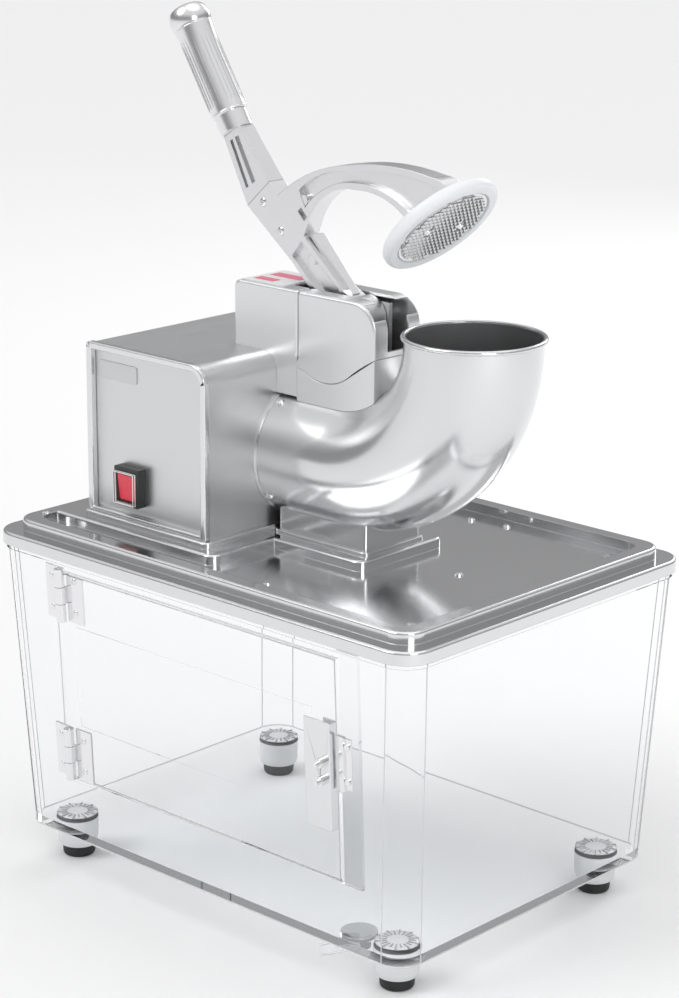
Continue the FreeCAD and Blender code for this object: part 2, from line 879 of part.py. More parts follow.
part(
    rod("BladeShaft", s("shaftRadius"), "X", houseR - 23.4, discEnd - 1, (0, axisZ)),
    "blade_shaft",
)


def pulley(name, ring, bore, start, at):
    solid = turned(
        name + "Solid",
        [(0, 0), (ring + 2, 0), (ring + 2, 1.5), (ring, 2), (ring, 9), (ring + 2, 9.5),
         (ring + 2, 11), (0, 11)],
        (start, at[0], at[1]),
        turns["X"],
    )
    hole = rod(name + "Bore", bore, "X", start - 1, start + 12, at)
    return cut(name, solid, [hole])


pulleyStart = houseR - 21.9
motorAt = (s("motorY"), s("motorZ"))
part(
    pulley("DrivenPulley", s("drivenRadius"), s("shaftRadius"), pulleyStart, (0, axisZ)),
    "driven_pulley",
)
part(
    pulley("MotorPulley", s("motorPulleyRadius"), 5, pulleyStart, motorAt),
    "motor_pulley",
)

# belt: two arcs joined by straight runs, drawn around both pulleys
awayY = s("motorY")
awayZ = s("motorZ") - axisZ
reach = root(awayY * awayY + awayZ * awayZ)


def loop(extra):
    first = s("drivenRadius") + extra
    second = s("motorPulleyRadius") + extra
    unit = (awayY / reach, awayZ / reach)
    side = (-unit[1], unit[0])
    cosine = (first - second) / reach
    sine = root(1 - cosine * cosine)

    def touch(big, centre, sign):
        y = centre[0] + big * (cosine * unit[0] + sine * side[0] * sign)
        z = centre[1] + big * (cosine * unit[1] + sine * side[1] * sign)
        return (y, z)

    driven = (sized(0), axisZ)
    farDriven = (driven[0] - first * unit[0], driven[1] - first * unit[1])
    farMotor = (motorAt[0] + second * unit[0], motorAt[1] + second * unit[1])
    upMotor = touch(second, motorAt, 1)
    return [
        (upMotor[0], upMotor[1], farMotor),
        touch(second, motorAt, -1),
        touch(first, driven, -1) + (farDriven,),
        touch(first, driven, 1),
    ]


beltOuter = prism("BeltOuter", "YZ", loop(2.3), pulleyStart + 2.6, pulleyStart + 8.4)
beltInner = prism("BeltInner", "YZ", loop(0.35), pulleyStart + 1, pulleyStart + 10)
part(cut("DriveBelt", beltOuter, [beltInner]), "drive_belt")

# ---- motor
motorStart = houseR - 108
motorEnd = houseR - 27
motorR = s("motorRadius")
canSolid = rod("MotorCanSolid", motorR, "X", motorStart + 8, motorEnd - 8, motorAt)
canHole = rod("MotorCanHole", motorR - 3, "X", motorStart, motorEnd, motorAt)
part(cut("MotorCan", canSolid, [canHole]), "motor_can")
bells = []
for index, (start, end) in enumerate(
    ((motorStart, motorStart + 8), (motorEnd - 8, motorEnd))
):
    bell = rod("BellSolid" + str(index), motorR, "X", start, end, motorAt)
    hole = rod("BellHole" + str(index), 5.05, "X", start - 1, end + 1, motorAt)
    bells.append(cut("Bell" + str(index), bell, [hole]))
part(together("EndBells", bells), "motor_end_bells")
shaftPart = rod("MotorShaftRod", 5, "X", motorStart - 3, pulleyStart + 10, motorAt)
core = rod("MotorCore", motorR - 6, "X", motorStart + 20, motorEnd - 20, motorAt)
part(fuse("MotorRotor", [shaftPart, core]), "motor_rotor")
cradle = box(
    "CradleBlock",
    (motorStart + 14, motorEnd - 14),
    (s("motorY") - 30, s("motorY") + 30),
    (s("panTop"), s("motorZ") - 24),
)
cradleCut = rod("CradleCut", motorR, "X", motorStart, motorEnd, motorAt)
part(cut("MotorBracket", cradle, [cradleCut]), "motor_bracket")

# ---- housing
houseL = s("houseLeft")
houseHalf = s("houseWidth") / 2
houseT = s("houseTop")
panT = s("panTop")
skin = s("houseThick")


def roundedTop(left, right, low, top, cornerLeft, cornerRight):
    left = sized(left)
    right = sized(right)
    first = sized(cornerLeft)
    second = sized(cornerRight)
    k = second * 0.2929
    j = first * 0.2929
    return [
        (left, low),
        (right, low),
        (right, top - second, (right - k, top - k)),
        (right - second, top),
        (left + first, top, (left + j, top - j)),
        (left, top - first),
    ]


def houseOutline(inward):
    left = houseL + inward
    right = houseR - inward
    top = houseT - inward
    corner = sized(14) - inward
    small = sized(3) - inward
    k = corner * 0.2929
    j = small * 0.2929
    return [
        (left, panT + 0.0),
        (right, panT + 0.0),
        (right, top - corner, (right - k, top - k)),
        (right - corner, top),
        (left + small, top, (left + j, top - j)),
        (left, top - small),
    ]


wrapOuter = prism("WrapOuter", "XZ", houseOutline(sized(0)), 6 - houseHalf, houseHalf)
wrapInner = prism("WrapInner", "XZ", houseOutline(skin), 2 - houseHalf, houseHalf + 4)
wrapFoot = box(
    "WrapFoot",
    (houseL + skin, houseR - skin),
    (2 - houseHalf, houseHalf + 4),
    (panT - 3, panT + 10),
)
hubHole = rod("WrapHubHole", 24, "X", houseR - 5, houseR + 5, (0, axisZ))
part(cut("HousingWrap", wrapOuter, [wrapInner, wrapFoot, hubHole]), "housing_wrap")

trimOuter = prism("TrimOuter", "XZ", houseOutline(sized(-1)), -houseHalf, 6 - houseHalf)
trimInner = prism(
    "TrimInner",
    "XZ",
    roundedTop(houseL + 4.5, houseR - 4.5, panT + 3.5, houseT - 4.5, 1, 9.5),
    -houseHalf - 3,
    9 - houseHalf,
)
part(cut("FrontTrim", trimOuter, [trimInner]), "front_trim")

switchX = (-136.0, -109.0)
switchZ = (302.0, 333.0)
panelY = 6 - houseHalf
frontSheet = prism("FrontSheet", "XZ", houseOutline(skin), panelY, panelY + 1.2)
switchHole = box(
    "SwitchHole",
    (switchX[0] + 2.5, switchX[1] - 2.5),
    (panelY - 3, panelY + 5),
    (switchZ[0] + 2.5, switchZ[1] - 2.5),
)
part(cut("FrontPanel", frontSheet, [switchHole]), "front_panel")
part(
    prism(
        "NamePlate",
        "XZ",
        plate((-160, -117), (398, 412), 2),
        panelY - 0.8,
        panelY,
    ),
    "name_plate",
)

rearSheet = prism("RearSheet", "XZ", houseOutline(skin), houseHalf - 1.4, houseHalf - 0.2)
vents = []
for index in range(8):
    z = 318 + index * 9
    vents.append(box("Vent" + str(index), (-140, -96), (houseHalf - 5, houseHalf + 5), (z, z + 4)))
inletHole = box("InletHole", (-84, -56), (houseHalf - 5, houseHalf + 5), (305, 325))
part(cut("RearPanel", rearSheet, vents + [inletHole]), "rear_panel")
inletSolid = box("InletSolid", (-86, -54), (houseHalf - 0.2, houseHalf + 2), (303, 327))
inletPlug = box("InletPlug", (-83.8, -56.2), (houseHalf - 18, houseHalf), (305.2, 324.8))
inletWell = box("InletWell", (-81, -59), (houseHalf - 14, houseHalf + 4), (308, 322))
part(cut("PowerInlet", fuse("InletWhole", [inletSolid, inletPlug]), [inletWell]), "power_inlet")

panOuter = slab("PanOuter", (houseL - 5, houseR + 5), (-houseHalf - 3, houseHalf + 3),
                (s("trayRim"), panT), 6, 1.6)
panInner = slab("PanInner", (houseL - 3, houseR + 3), (-houseHalf - 1, houseHalf + 1),
                (s("trayRim") - 1, panT - 1.5), 4)
panNotch = box("PanNotch", (-34.05, 10), (-34.05, 34.05), (s("trayRim") - 1, panT + 1))
part(cut("BasePan", panOuter, [panInner, panNotch]), "base_pan")

# ---- switch: bezel, clear cover over a red rocker
bezelY = panelY - 8
bezelSolid = prism("BezelSolid", "XZ", plate(switchX, switchZ, 1.5), bezelY, panelY)
wellX = (switchX[0] + 3, switchX[1] - 4)
wellZ = (switchZ[0] + 3, switchZ[1] - 5)
bezelBack = box(
    "BezelBack",
    (switchX[0] + 2.6, switchX[1] - 2.6),
    (panelY, panelY + 14),
    (switchZ[0] + 2.6, switchZ[1] - 2.6),
)
bezelCavity = box("BezelCavity", wellX, (bezelY - 2, panelY + 12), wellZ)
part(cut("SwitchBezel", fuse("BezelWhole", [bezelSolid, bezelBack]), [bezelCavity]),
     "switch_bezel")
coverSolid = prism("CoverSolid", "XZ", plate(
    (wellX[0] - 1, wellX[1] + 1), (wellZ[0] - 1, wellZ[1] + 1), 1.2), bezelY - 3, bezelY)
coverWell = box("CoverWell", (wellX[0] + 0.2, wellX[1] - 0.2), (bezelY - 2, bezelY + 1),
                (wellZ[0] + 0.2, wellZ[1] - 0.2))
part(cut("SwitchCover", coverSolid, [coverWell]), "switch_cover")
rockerX = (wellX[0] + 0.6, wellX[1] - 0.6)
rockerMid = (sized(wellZ[0]) + wellZ[1]) / 2
rockerY = bezelY + 5
rockerHalf = (sized(wellZ[1]) - wellZ[0]) / 2 - 1.1
rocker = prism(
    "RockerSolid",
    "YZ",
    [
        (rockerY + 3, rockerMid - rockerHalf + 1),
        (bezelY + 2.4, rockerMid - rockerHalf),
        (bezelY + 1.2, rockerMid),
        (bezelY + 0.2, rockerMid + rockerHalf),
        (rockerY + 3, rockerMid + rockerHalf - 1),
    ],
    rockerX[0],
    rockerX[1],
)
rockerBore = rod("RockerBore", 1.3, "X", wellX[0] - 1, wellX[1] + 1, (rockerY, rockerMid))
part(cut("Rocker", rocker, [rockerBore]), "rocker")
part(rod("RockerPin", 1.25, "X", wellX[0], wellX[1], (rockerY, rockerMid)), "rocker_pin")

# ---- capacitor inside the housing
capBody = rod("CapacitorCan", 18, "X", -150, -86, (60, panT + 20))
capFoot = box("CapacitorFoot", (-140, -96), (48, 72), (panT, panT + 6))
part(fuse("Capacitor", [capBody, capFoot]), "capacitor")

# ---- covers over the lever bracket
coverHalf = s("coverWidth") / 2
coverT = s("coverTop")
coverL = -84.0
coverR = 62.6
seamX = -17.0
seamZ = 414.0
slotHalf = 11.6


rearSolid = prism("RearCoverSolid", "XZ", roundedTop(coverL, seamX, houseT, coverT, 6, 0.5),
                  -coverHalf, coverHalf)
soften(rearSolid, 2, lambda edge: edge.BoundBox.YLength < 0.01 and edge.BoundBox.ZMax > 430
       and edge.BoundBox.ZMin > 426)
rearLeg = box("RearLeg", (houseR - 16, seamX), (-coverHalf, coverHalf), (seamZ - 20, houseT + 1))
rearVoid = box("RearVoid", (sized(coverL) + 2, seamX + 1), (2 - coverHalf, coverHalf - 2),
               (seamZ - 30, coverT - 2))
rearNotch = box("RearNotch", (seamX - 17, seamX + 1), (-slotHalf, slotHalf),
                (coverT - 10, coverT + 5))
houseKeep = prism("HouseKeep", "XZ", houseOutline(sized(-0.05)), -40, 40)
rearSaddle = rod("RearSaddle", radius + 0.1, "X", houseR - 5, pivotX, (0, axisZ))
part(
    cut("RearCover", fuse("RearWhole", [rearSolid, rearLeg]),
        [rearVoid, rearNotch, houseKeep, rearSaddle]),
    "rear_cover",
)

cheekPoints = [
    (seamX + 0.3, seamZ + 7, (seamX + 1.5, seamZ + 3.3)),
    (seamX + 6, seamZ + 2, (14, seamZ - 4.5)),
    (34, seamZ + 2, (43, seamZ + 9)),
    (coverR, seamZ + 21),
    (coverR, coverT - 22, (sized(coverR) - 6.44, coverT - 6.44)),
    (coverR - 22, coverT),
    (seamX + 3.3, coverT, (seamX + 1.2, coverT - 0.9)),
    (seamX + 0.3, coverT - 3),
]
cheekSolid = prism("CheekSolid", "XZ", cheekPoints, -coverHalf, coverHalf)
soften(cheekSolid, 2.5, lambda edge: edge.BoundBox.YLength < 0.01 and edge.BoundBox.XMax > -16
       and edge.BoundBox.ZMin > 436)
cheekVoid = box("CheekVoid", (seamX - 1, sized(coverR) - 2.2), (2.2 - coverHalf, coverHalf - 2.2),
                (seamZ - 20, coverT - 2.2))
cheekSlot = box("CheekSlot", (seamX - 1, sized(coverR) + 3), (-slotHalf, slotHalf),
                (pivotZ - 19, coverT + 3))
cheekSaddle = elbowSolid("CheekSaddle", radius + 0.3, 30)
part(cut("FrontCheeks", cheekSolid, [cheekVoid, cheekSlot, cheekSaddle]), "front_cheeks")

collarPoints = [
    (seamX + 0.3, seamZ - 45),
    (coverR - 0.2, seamZ - 45),
    (coverR - 0.2, seamZ + 20.6),
    (34, seamZ + 1.6, (14, seamZ - 4.9)),
    (seamX + 6, seamZ + 1.6, (seamX + 1.5, seamZ + 2.9)),
    (seamX + 0.3, seamZ + 6.6),
]
collarSolid = prism("CollarSolid", "XZ", collarPoints, -coverHalf, coverHalf)
collarVoid = box("CollarVoid", (seamX - 1, sized(coverR) - 2.4), (2.2 - coverHalf, coverHalf - 2.2),
                 (seamZ - 60, coverT))
collarSaddle = elbowSolid("CollarSaddle", radius + 0.1, 30)
part(cut("Collar", collarSolid, [collarVoid, collarSaddle]), "saddle_collar")
part(
    slab("TopLabelSlab", (coverL + 6, seamX - 19), (4 - coverHalf, coverHalf - 4),
         (coverT, coverT + 0.5), 2),
    "top_label",
)

# ---- lever bracket and pivot bolt
boltR = s("boltRadius")
plates = []
bracketSaddle = elbowSolid("BracketSaddle", radius + 0.02, 5)
for index, side in enumerate((-1, 1)):
    y = (11.6, 15.1) if side > 0 else (-15.1, -11.6)
    plates.append(box("BracketPlate" + str(index), (-8, 43), y, (axisZ + 40, pivotZ + 12)))
web = box("BracketWeb", (-8, -2), (-15.1, 15.1), (axisZ + 40, pivotZ - 20))
pivotHole = rod("BracketHole", boltR + 0.05, "Y", -20, 20, (pivotX, pivotZ))
part(
    cut("LeverBracket", fuse("BracketWhole", plates + [web]), [pivotHole, bracketSaddle]),
    "lever_bracket",
)
boltHead = rod("PivotHead", 8.5, "Y", -20, -15.1, (pivotX, pivotZ))
boltShank = rod("PivotShank", boltR, "Y", -16, 22, (pivotX, pivotZ))
part(fuse("PivotBolt", [boltHead, boltShank]), "pivot_bolt")
nutSolid = rod("PivotNutSolid", 8.5, "Y", 15.1, 20.6, (pivotX, pivotZ))
nutBore = rod("PivotNutBore", boltR, "Y", 14, 23, (pivotX, pivotZ))
part(cut("PivotNut", nutSolid, [nutBore]), "pivot_nut")

# ---- lever: drawn around the pivot, growing with the bend it swings through
grow = bend / 112
armHalf = s("leverThick") / 2


def lever(points):
    placed = []
    for point in points:
        spotU = pivotX + grow * point[0]
        spotV = pivotZ + grow * point[1]
        if len(point) == 3:
            via = (pivotX + grow * point[2][0], pivotZ + grow * point[2][1])
            placed.append((spotU, spotV, via))
        else:
            placed.append((spotU, spotV))
    return placed


def pockets(name, points, web):
    # the same recess on both faces, leaving the web between them
    left = prism(name + "Front", "XZ", lever(points), -armHalf - 1, -sized(web))
    right = prism(name + "Back", "XZ", lever(points), sized(web), armHalf + 1)
    return [left, right]


stem = prism(
    "LeverStem",
    "XZ",
    lever(
        [
            (-111.4, 72.2),
            (-62.6, 34),
            (-49.6, 21),
            (-10.0, -10),
            (5, -12.4, (13.4, 0)),
            (3, 13),
            (-10.6, 20),
            (-51.6, 56.4),
            (-88.4, 93.2),
        ]
    ),
    -armHalf,
    armHalf,
)
arch = prism(
    "LeverArch",
    "XZ",
    lever(
        [
            (-79, 84, (-49, 103)),
            (-7.6, 115, (32, 119)),
            (75.4, 115.3, (86.5, 112.6)),
            (94.075, 106.424),
            (62.425, 73.074),
            (51.4, 82, (30, 94.2)),
            (1, 97.3, (-33, 87)),
            (-47, 68),
            (-51.6, 56),
            (-74, 78),
        ]
    ),
    -armHalf,
    armHalf,
)
archPocket = pockets(
    "ArchPocket",
    [
        (-57, 90.5, (-42, 101.4)),
        (-7.6, 109.6, (32, 113.6)),
        (73, 110.4),
        (83, 105.4),
        (60, 84.6),
        (52, 88.4, (28, 99.6)),
        (0, 102.5, (-31, 94.5)),
        (-50.5, 78),
    ],
    3.2,
)
stemPocket = pockets(
    "StemPocket",
    [
        (-54.2, 51.6),
        (-64, 39.5),
        (-52, 29),
        (-30, 9.5),
        (-14.5, 19.4),
    ],
    4.2,
)
windowCut = prism("ArchWindow", "XZ", lever([(-58, 74.4), (-51.5, 67.6), (-48.2, 71.2),
                                            (-54.6, 77.6)]), -20, 20)
hubRod = rod("LeverHub", 16 * grow, "Y", -11.2, 11.2, (pivotX, pivotZ))
flangeRib = prism(
    "LeverRib",
    "XZ",
    lever([(-50, 57), (-42, 58.5), (-4, 17.5), (-9.5, 15)]),
    -4,
    4,
)
bosses = []
for index, (u, v) in enumerate(((-52.6, 83), (68.4, 94.5), (-43.5, 38.5))):
    centre = lever([(u, v)])[0]
    bosses.append(rod("LeverBoss" + str(index), 4.2, "Y", 0.4 - armHalf, armHalf - 0.4, centre))
armBody = fuse("LeverBody", [stem, arch])
armCut = cut("LeverCarved", armBody, archPocket + stemPocket + [windowCut])
armWhole = fuse("LeverJoined", [armCut, hubRod, flangeRib] + bosses)
bushHole = rod("LeverBore", 8, "Y", -20, 20, (pivotX, pivotZ))
screwSpots = [(-94.6, 77), (-75.6, 57)]
screwHoles = []
barScrews = []
for index, point in enumerate(screwSpots):
    centre = lever([point])[0]
    screwHoles.append(rod("LeverScrewHole" + str(index), 3.3, "Y", -armHalf - 1, 1.2 - armHalf,
                          centre))
    solid = turned(
        "BarScrewHead" + str(index),
        [(0, 0), (3.2, 0), (3.2, 1.1, (2.1, 1.75)), (0, 2)],
        (centre[0], 1.2 - armHalf, centre[1]),
        Rotation(Vector(1, 0, 0), 90),
    )
    cross = [
        box("BarCross" + str(index), (-0.5, 0.5), (0, 1), (-2, 2)),
        box("BarCrossFlat" + str(index), (-2, 2), (0, 1), (-0.5, 0.5)),
    ]
    for mark, (wide, tall) in zip(cross, ((0.5, 2), (2, 0.5))):
        place(mark, (centre[0] - wide, -armHalf - 1.6, centre[1] - tall))
        bind(mark, "Width", 1.9)
    barScrews.append(cut("BarScrew" + str(index), solid, cross))
part(cut("LeverArm", armWhole, [bushHole] + screwHoles), "lever_arm")
part(together("BarScrews", barScrews), "bar_screws")

bar = prism(
    "LeverBarSolid",
    "XZ",
    lever([(-137.0, 122.2), (-111.53, 72.35), (-88.53, 93.35), (-121.0, 132.4)]),
    -armHalf,
    armHalf,
)
barSlots = []
for index, ends in enumerate(
    (
        [(-130.4, 120.2), (-112.9, 85.5), (-110.3, 87.2), (-127.6, 121.6)],
        [(-125.2, 123.4), (-106.4, 89.6), (-103, 92), (-121.4, 125.2)],
    )
):
    barSlots += pockets("BarSlot" + str(index), ends, 3.5)
part(cut("LeverBar", bar, barSlots), "lever_bar")
part(tube("PivotBush", 8, boltR + 0.05, "Y", -11.2, 11.2, (pivotX, pivotZ)), "pivot_bush")

gripTurn = Rotation(Vector(0, 1, 0), -32.5)
gripBase = lever([(-130.2, 126.6)])[0]
gripLong = s("gripLength")
gripR = s("gripRadius")
gripSolid = turned(
    "GripSolid",
    [
        (0, 0),
        (gripR - 1.5, 0),
        (gripR - 1.2, 14),
        (gripR - 0.3, 16),
        (gripR - 0.5, 60, (gripR - 0.2, 76)),
        (gripR + 0.9, gripLong - 16, (gripR + 1.9, gripLong - 9)),
        (gripR + 0.4, gripLong - 4, (gripR - 2.5, gripLong - 0.8)),
        (gripR - 7, gripLong),
        (0, gripLong),
    ],
    (gripBase[0], 0, gripBase[1]),
    gripTurn,
)
part(gripSolid, "grip")

# pusher: centre on the bend's own circle, pushed along the tangent
tilt = 46.5
pushTurn = Rotation(Vector(0, 1, 0), 90 + (90 - tilt) - 0)
centreU = 0.68835
centreV = 0.72537
pushCentre = (pivotX + bend * centreU, pivotZ + bend * centreV)
halfPush = s("pusherThick") / 2


def pushed(name, points):
    return turned(name, points, (pushCentre[0], 0, pushCentre[1]), pushTurn)


pushR = radius - s("tubeThick") - s("pusherGap")
pusherSolid = pushed(
    "PusherSolid",
    [
        (0, -halfPush),
        (pushR - 4, -halfPush, (pushR - 1.2, -halfPush * 0.72)),
        (pushR, 0, (pushR - 0.7, halfPush * 0.66)),
        (pushR - 2.4, halfPush),
        (pushR - 8.5, halfPush),
        (pushR - 9.5, halfPush - 2),
        (0, halfPush - 2),
    ],
)
part(pusherSolid, "pusher_disc")
spikeBase = pushed(
    "SpikeBase",
    [
        (0, halfPush - 2),
        (pushR - 10, halfPush - 2),
        (pushR - 10, halfPush - 1),
        (0, halfPush - 1),
    ],
)
spikeDomeProfile = [
    (0, halfPush - 1.2),
    (pushR - 12, halfPush - 1.2),
    (pushR - 12.5, halfPush - 0.4),
    (0, halfPush - 0.4),
]
spikeDome = pushed("SpikeDome", spikeDomeProfile)
part(fuse("SpikeRound", [spikeBase, spikeDome]), "spike_plate")
plateScrews = []
for index, y in enumerate((-18, 18)):
    screw = turned(
        "PlateScrew" + str(index),
        [(0, halfPush - 0.4), (3, halfPush - 0.4), (2.2, halfPush + 1.2), (0, halfPush + 1.4)],
        (pushCentre[0], y, pushCentre[1]),
        pushTurn,
    )
    plateScrews.append(screw)
part(together("PlateScrews", plateScrews), "plate_screws")

# ---- check and write
document.recompute()
failed = [item.Name for item in document.Objects if {"Invalid", "Error"} & set(item.State)]
if failed:
    raise RuntimeError("did not build: " + ", ".join(failed))
for item in subParts:
    if item.Shape.isNull() or not item.Shape.isValid():
        raise RuntimeError(item.Label + " has no valid shape")
os.makedirs("parts", exist_ok=True)
for item in subParts:
    item.Shape.exportStep("parts/" + item.Label + ".step")
print(len(subParts), "sub-parts written")
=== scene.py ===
import json
import math

import bpy
import bmesh
from mathutils import Matrix, Vector


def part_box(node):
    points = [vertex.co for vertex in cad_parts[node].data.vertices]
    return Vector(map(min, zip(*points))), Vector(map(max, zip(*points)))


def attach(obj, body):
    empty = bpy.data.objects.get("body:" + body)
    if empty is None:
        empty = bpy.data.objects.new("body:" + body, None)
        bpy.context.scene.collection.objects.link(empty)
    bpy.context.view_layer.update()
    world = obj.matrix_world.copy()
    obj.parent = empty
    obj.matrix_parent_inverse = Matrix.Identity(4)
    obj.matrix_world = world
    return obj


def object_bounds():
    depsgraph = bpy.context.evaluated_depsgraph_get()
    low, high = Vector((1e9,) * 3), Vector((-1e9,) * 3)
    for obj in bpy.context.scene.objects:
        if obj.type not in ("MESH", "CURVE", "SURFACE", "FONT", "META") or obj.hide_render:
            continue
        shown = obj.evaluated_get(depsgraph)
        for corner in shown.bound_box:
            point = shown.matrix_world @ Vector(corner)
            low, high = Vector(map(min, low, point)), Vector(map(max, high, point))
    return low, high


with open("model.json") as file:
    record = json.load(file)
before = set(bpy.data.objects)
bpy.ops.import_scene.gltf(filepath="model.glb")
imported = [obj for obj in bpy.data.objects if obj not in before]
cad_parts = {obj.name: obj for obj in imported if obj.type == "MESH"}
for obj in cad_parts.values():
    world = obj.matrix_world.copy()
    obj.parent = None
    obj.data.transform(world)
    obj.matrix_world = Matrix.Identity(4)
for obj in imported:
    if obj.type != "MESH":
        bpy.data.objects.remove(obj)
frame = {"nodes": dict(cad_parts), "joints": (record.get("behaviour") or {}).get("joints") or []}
nodes = frame["nodes"]
cadLow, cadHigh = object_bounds()
joints = {joint["name"]: joint for joint in frame["joints"]}
print("stage: frame loaded with", len(nodes), "nodes")

# shader node groups


def newGroup(name, inputs, outputs):
    group = bpy.data.node_groups.new(name, "ShaderNodeTree")
    for label, kind, value in inputs:
        socket = group.interface.new_socket(name=label, in_out="INPUT", socket_type=kind)
        socket.default_value = value
    for label, kind in outputs:
        group.interface.new_socket(name=label, in_out="OUTPUT", socket_type=kind)
    return group, group.nodes.new("NodeGroupInput"), group.nodes.new("NodeGroupOutput")


# brushed grain: fine streaks that shift roughness and make a low height
grainGroup, grainIn, grainOut = newGroup(
    "brushedGrain",
    [
        ("Stretch", "NodeSocketVector", (1.0, 1.0, 1.0)),
        ("Scale", "NodeSocketFloat", 120.0),
        ("Roughness", "NodeSocketFloat", 0.3),
        ("Spread", "NodeSocketFloat", 0.1),
    ],
    [("Roughness", "NodeSocketFloat"), ("Height", "NodeSocketFloat")],
)
grainCoords = grainGroup.nodes.new("ShaderNodeTexCoord")
grainStretch = grainGroup.nodes.new("ShaderNodeVectorMath")
grainStretch.operation = "MULTIPLY"
grainNoise = grainGroup.nodes.new("ShaderNodeTexNoise")
grainNoise.inputs["Detail"].default_value = 3.0
grainRange = grainGroup.nodes.new("ShaderNodeMath")
grainRange.operation = "MULTIPLY_ADD"
grainShift = grainGroup.nodes.new("ShaderNodeMath")
grainShift.operation = "SUBTRACT"
grainShift.inputs[1].default_value = 0.5
grainGroup.links.new(grainCoords.outputs["Object"], grainStretch.inputs[0])
grainGroup.links.new(grainIn.outputs["Stretch"], grainStretch.inputs[1])
grainGroup.links.new(grainStretch.outputs[0], grainNoise.inputs["Vector"])
grainGroup.links.new(grainIn.outputs["Scale"], grainNoise.inputs["Scale"])
grainGroup.links.new(grainNoise.outputs["Fac"], grainShift.inputs[0])
grainGroup.links.new(grainShift.outputs[0], grainRange.inputs[0])
grainGroup.links.new(grainIn.outputs["Spread"], grainRange.inputs[1])
grainGroup.links.new(grainIn.outputs["Roughness"], grainRange.inputs[2])
grainGroup.links.new(grainRange.outputs[0], grainOut.inputs["Roughness"])
grainGroup.links.new(grainNoise.outputs["Fac"], grainOut.inputs["Height"])

# soft tone: a slow change of colour over a surface
toneGroup, toneIn, toneOut = newGroup(
    "softTone",
    [
        ("Color", "NodeSocketColor", (0.8, 0.8, 0.8, 1.0)),
        ("Darker", "NodeSocketColor", (0.7, 0.7, 0.7, 1.0)),
        ("Scale", "NodeSocketFloat", 6.0),
    ],
    [("Color", "NodeSocketColor")],
)
toneCoords = toneGroup.nodes.new("ShaderNodeTexCoord")
toneNoise = toneGroup.nodes.new("ShaderNodeTexNoise")
toneNoise.inputs["Detail"].default_value = 1.0
toneMix = toneGroup.nodes.new("ShaderNodeMix")
toneMix.data_type = "RGBA"
toneGroup.links.new(toneCoords.outputs["Object"], toneNoise.inputs["Vector"])
toneGroup.links.new(toneIn.outputs["Scale"], toneNoise.inputs["Scale"])
toneGroup.links.new(toneNoise.outputs["Fac"], toneMix.inputs["Factor"])
toneGroup.links.new(toneIn.outputs["Color"], toneMix.inputs["A"])
toneGroup.links.new(toneIn.outputs["Darker"], toneMix.inputs["B"])
toneGroup.links.new(toneMix.outputs["Result"], toneOut.inputs["Color"])

# materials


def newMaterial(name):
    material = bpy.data.materials.new(name)
    material.use_nodes = True
    return material, material.node_tree, material.node_tree.nodes["Principled BSDF"]


def rgba(colour):
    return (colour[0], colour[1], colour[2], 1.0)


def metalMaterial(name, look):
    material, tree, shader = newMaterial(name)
    shader.inputs["Metallic"].default_value = look.get("metallic", 1.0)
    shader.inputs["Coat Weight"].default_value = look.get("coat", 0.0)
    grain = tree.nodes.new("ShaderNodeGroup")
    grain.node_tree = grainGroup
    grain.inputs["Stretch"].default_value = look.get("stretch", (1.0, 1.0, 1.0))
    grain.inputs["Scale"].default_value = look.get("scale", 120.0)
    grain.inputs["Roughness"].default_value = look["roughness"]
    grain.inputs["Spread"].default_value = look.get("spread", 0.08)
    tree.links.new(grain.outputs["Roughness"], shader.inputs["Roughness"])
    tone = tree.nodes.new("ShaderNodeGroup")
    tone.node_tree = toneGroup
    tone.inputs["Color"].default_value = rgba(look["colour"])
    darker = look.get("darker", 0.94)
    tone.inputs["Darker"].default_value = rgba([level * darker for level in look["colour"]])
    tree.links.new(tone.outputs["Color"], shader.inputs["Base Color"])
    bump = tree.nodes.new("ShaderNodeBump")
    bump.inputs["Strength"].default_value = look.get("bump", 0.05)
    bump.inputs["Distance"].default_value = 0.0002
    tree.links.new(grain.outputs["Height"], bump.inputs["Height"])
    edge = tree.nodes.new("ShaderNodeBevel")
    edge.samples = 4
    edge.inputs["Radius"].default_value = look.get("edge", 0.0006)
    tree.links.new(edge.outputs["Normal"], bump.inputs["Normal"])
    tree.links.new(bump.outputs["Normal"], shader.inputs["Normal"])
    return material


def plainMaterial(name, look):
    material, tree, shader = newMaterial(name)
    shader.inputs["Base Color"].default_value = rgba(look["colour"])
    shader.inputs["Roughness"].default_value = look["roughness"]
    shader.inputs["Metallic"].default_value = look.get("metallic", 0.0)
    shader.inputs["Coat Weight"].default_value = look.get("coat", 0.0)
    # painted glow: emission that brightens a part beyond what the lamps give; set only on the red
    # rocker
    shader.inputs["Emission Color"].default_value = rgba(look.get("paintedGlow", (0.0, 0.0, 0.0)))
    shader.inputs["Emission Strength"].default_value = look.get("paintedGlowStrength", 0.0)
    edge = tree.nodes.new("ShaderNodeBevel")
    edge.samples = 4
    edge.inputs["Radius"].default_value = look.get("edge", 0.0006)
    tree.links.new(edge.outputs["Normal"], shader.inputs["Normal"])
    return material


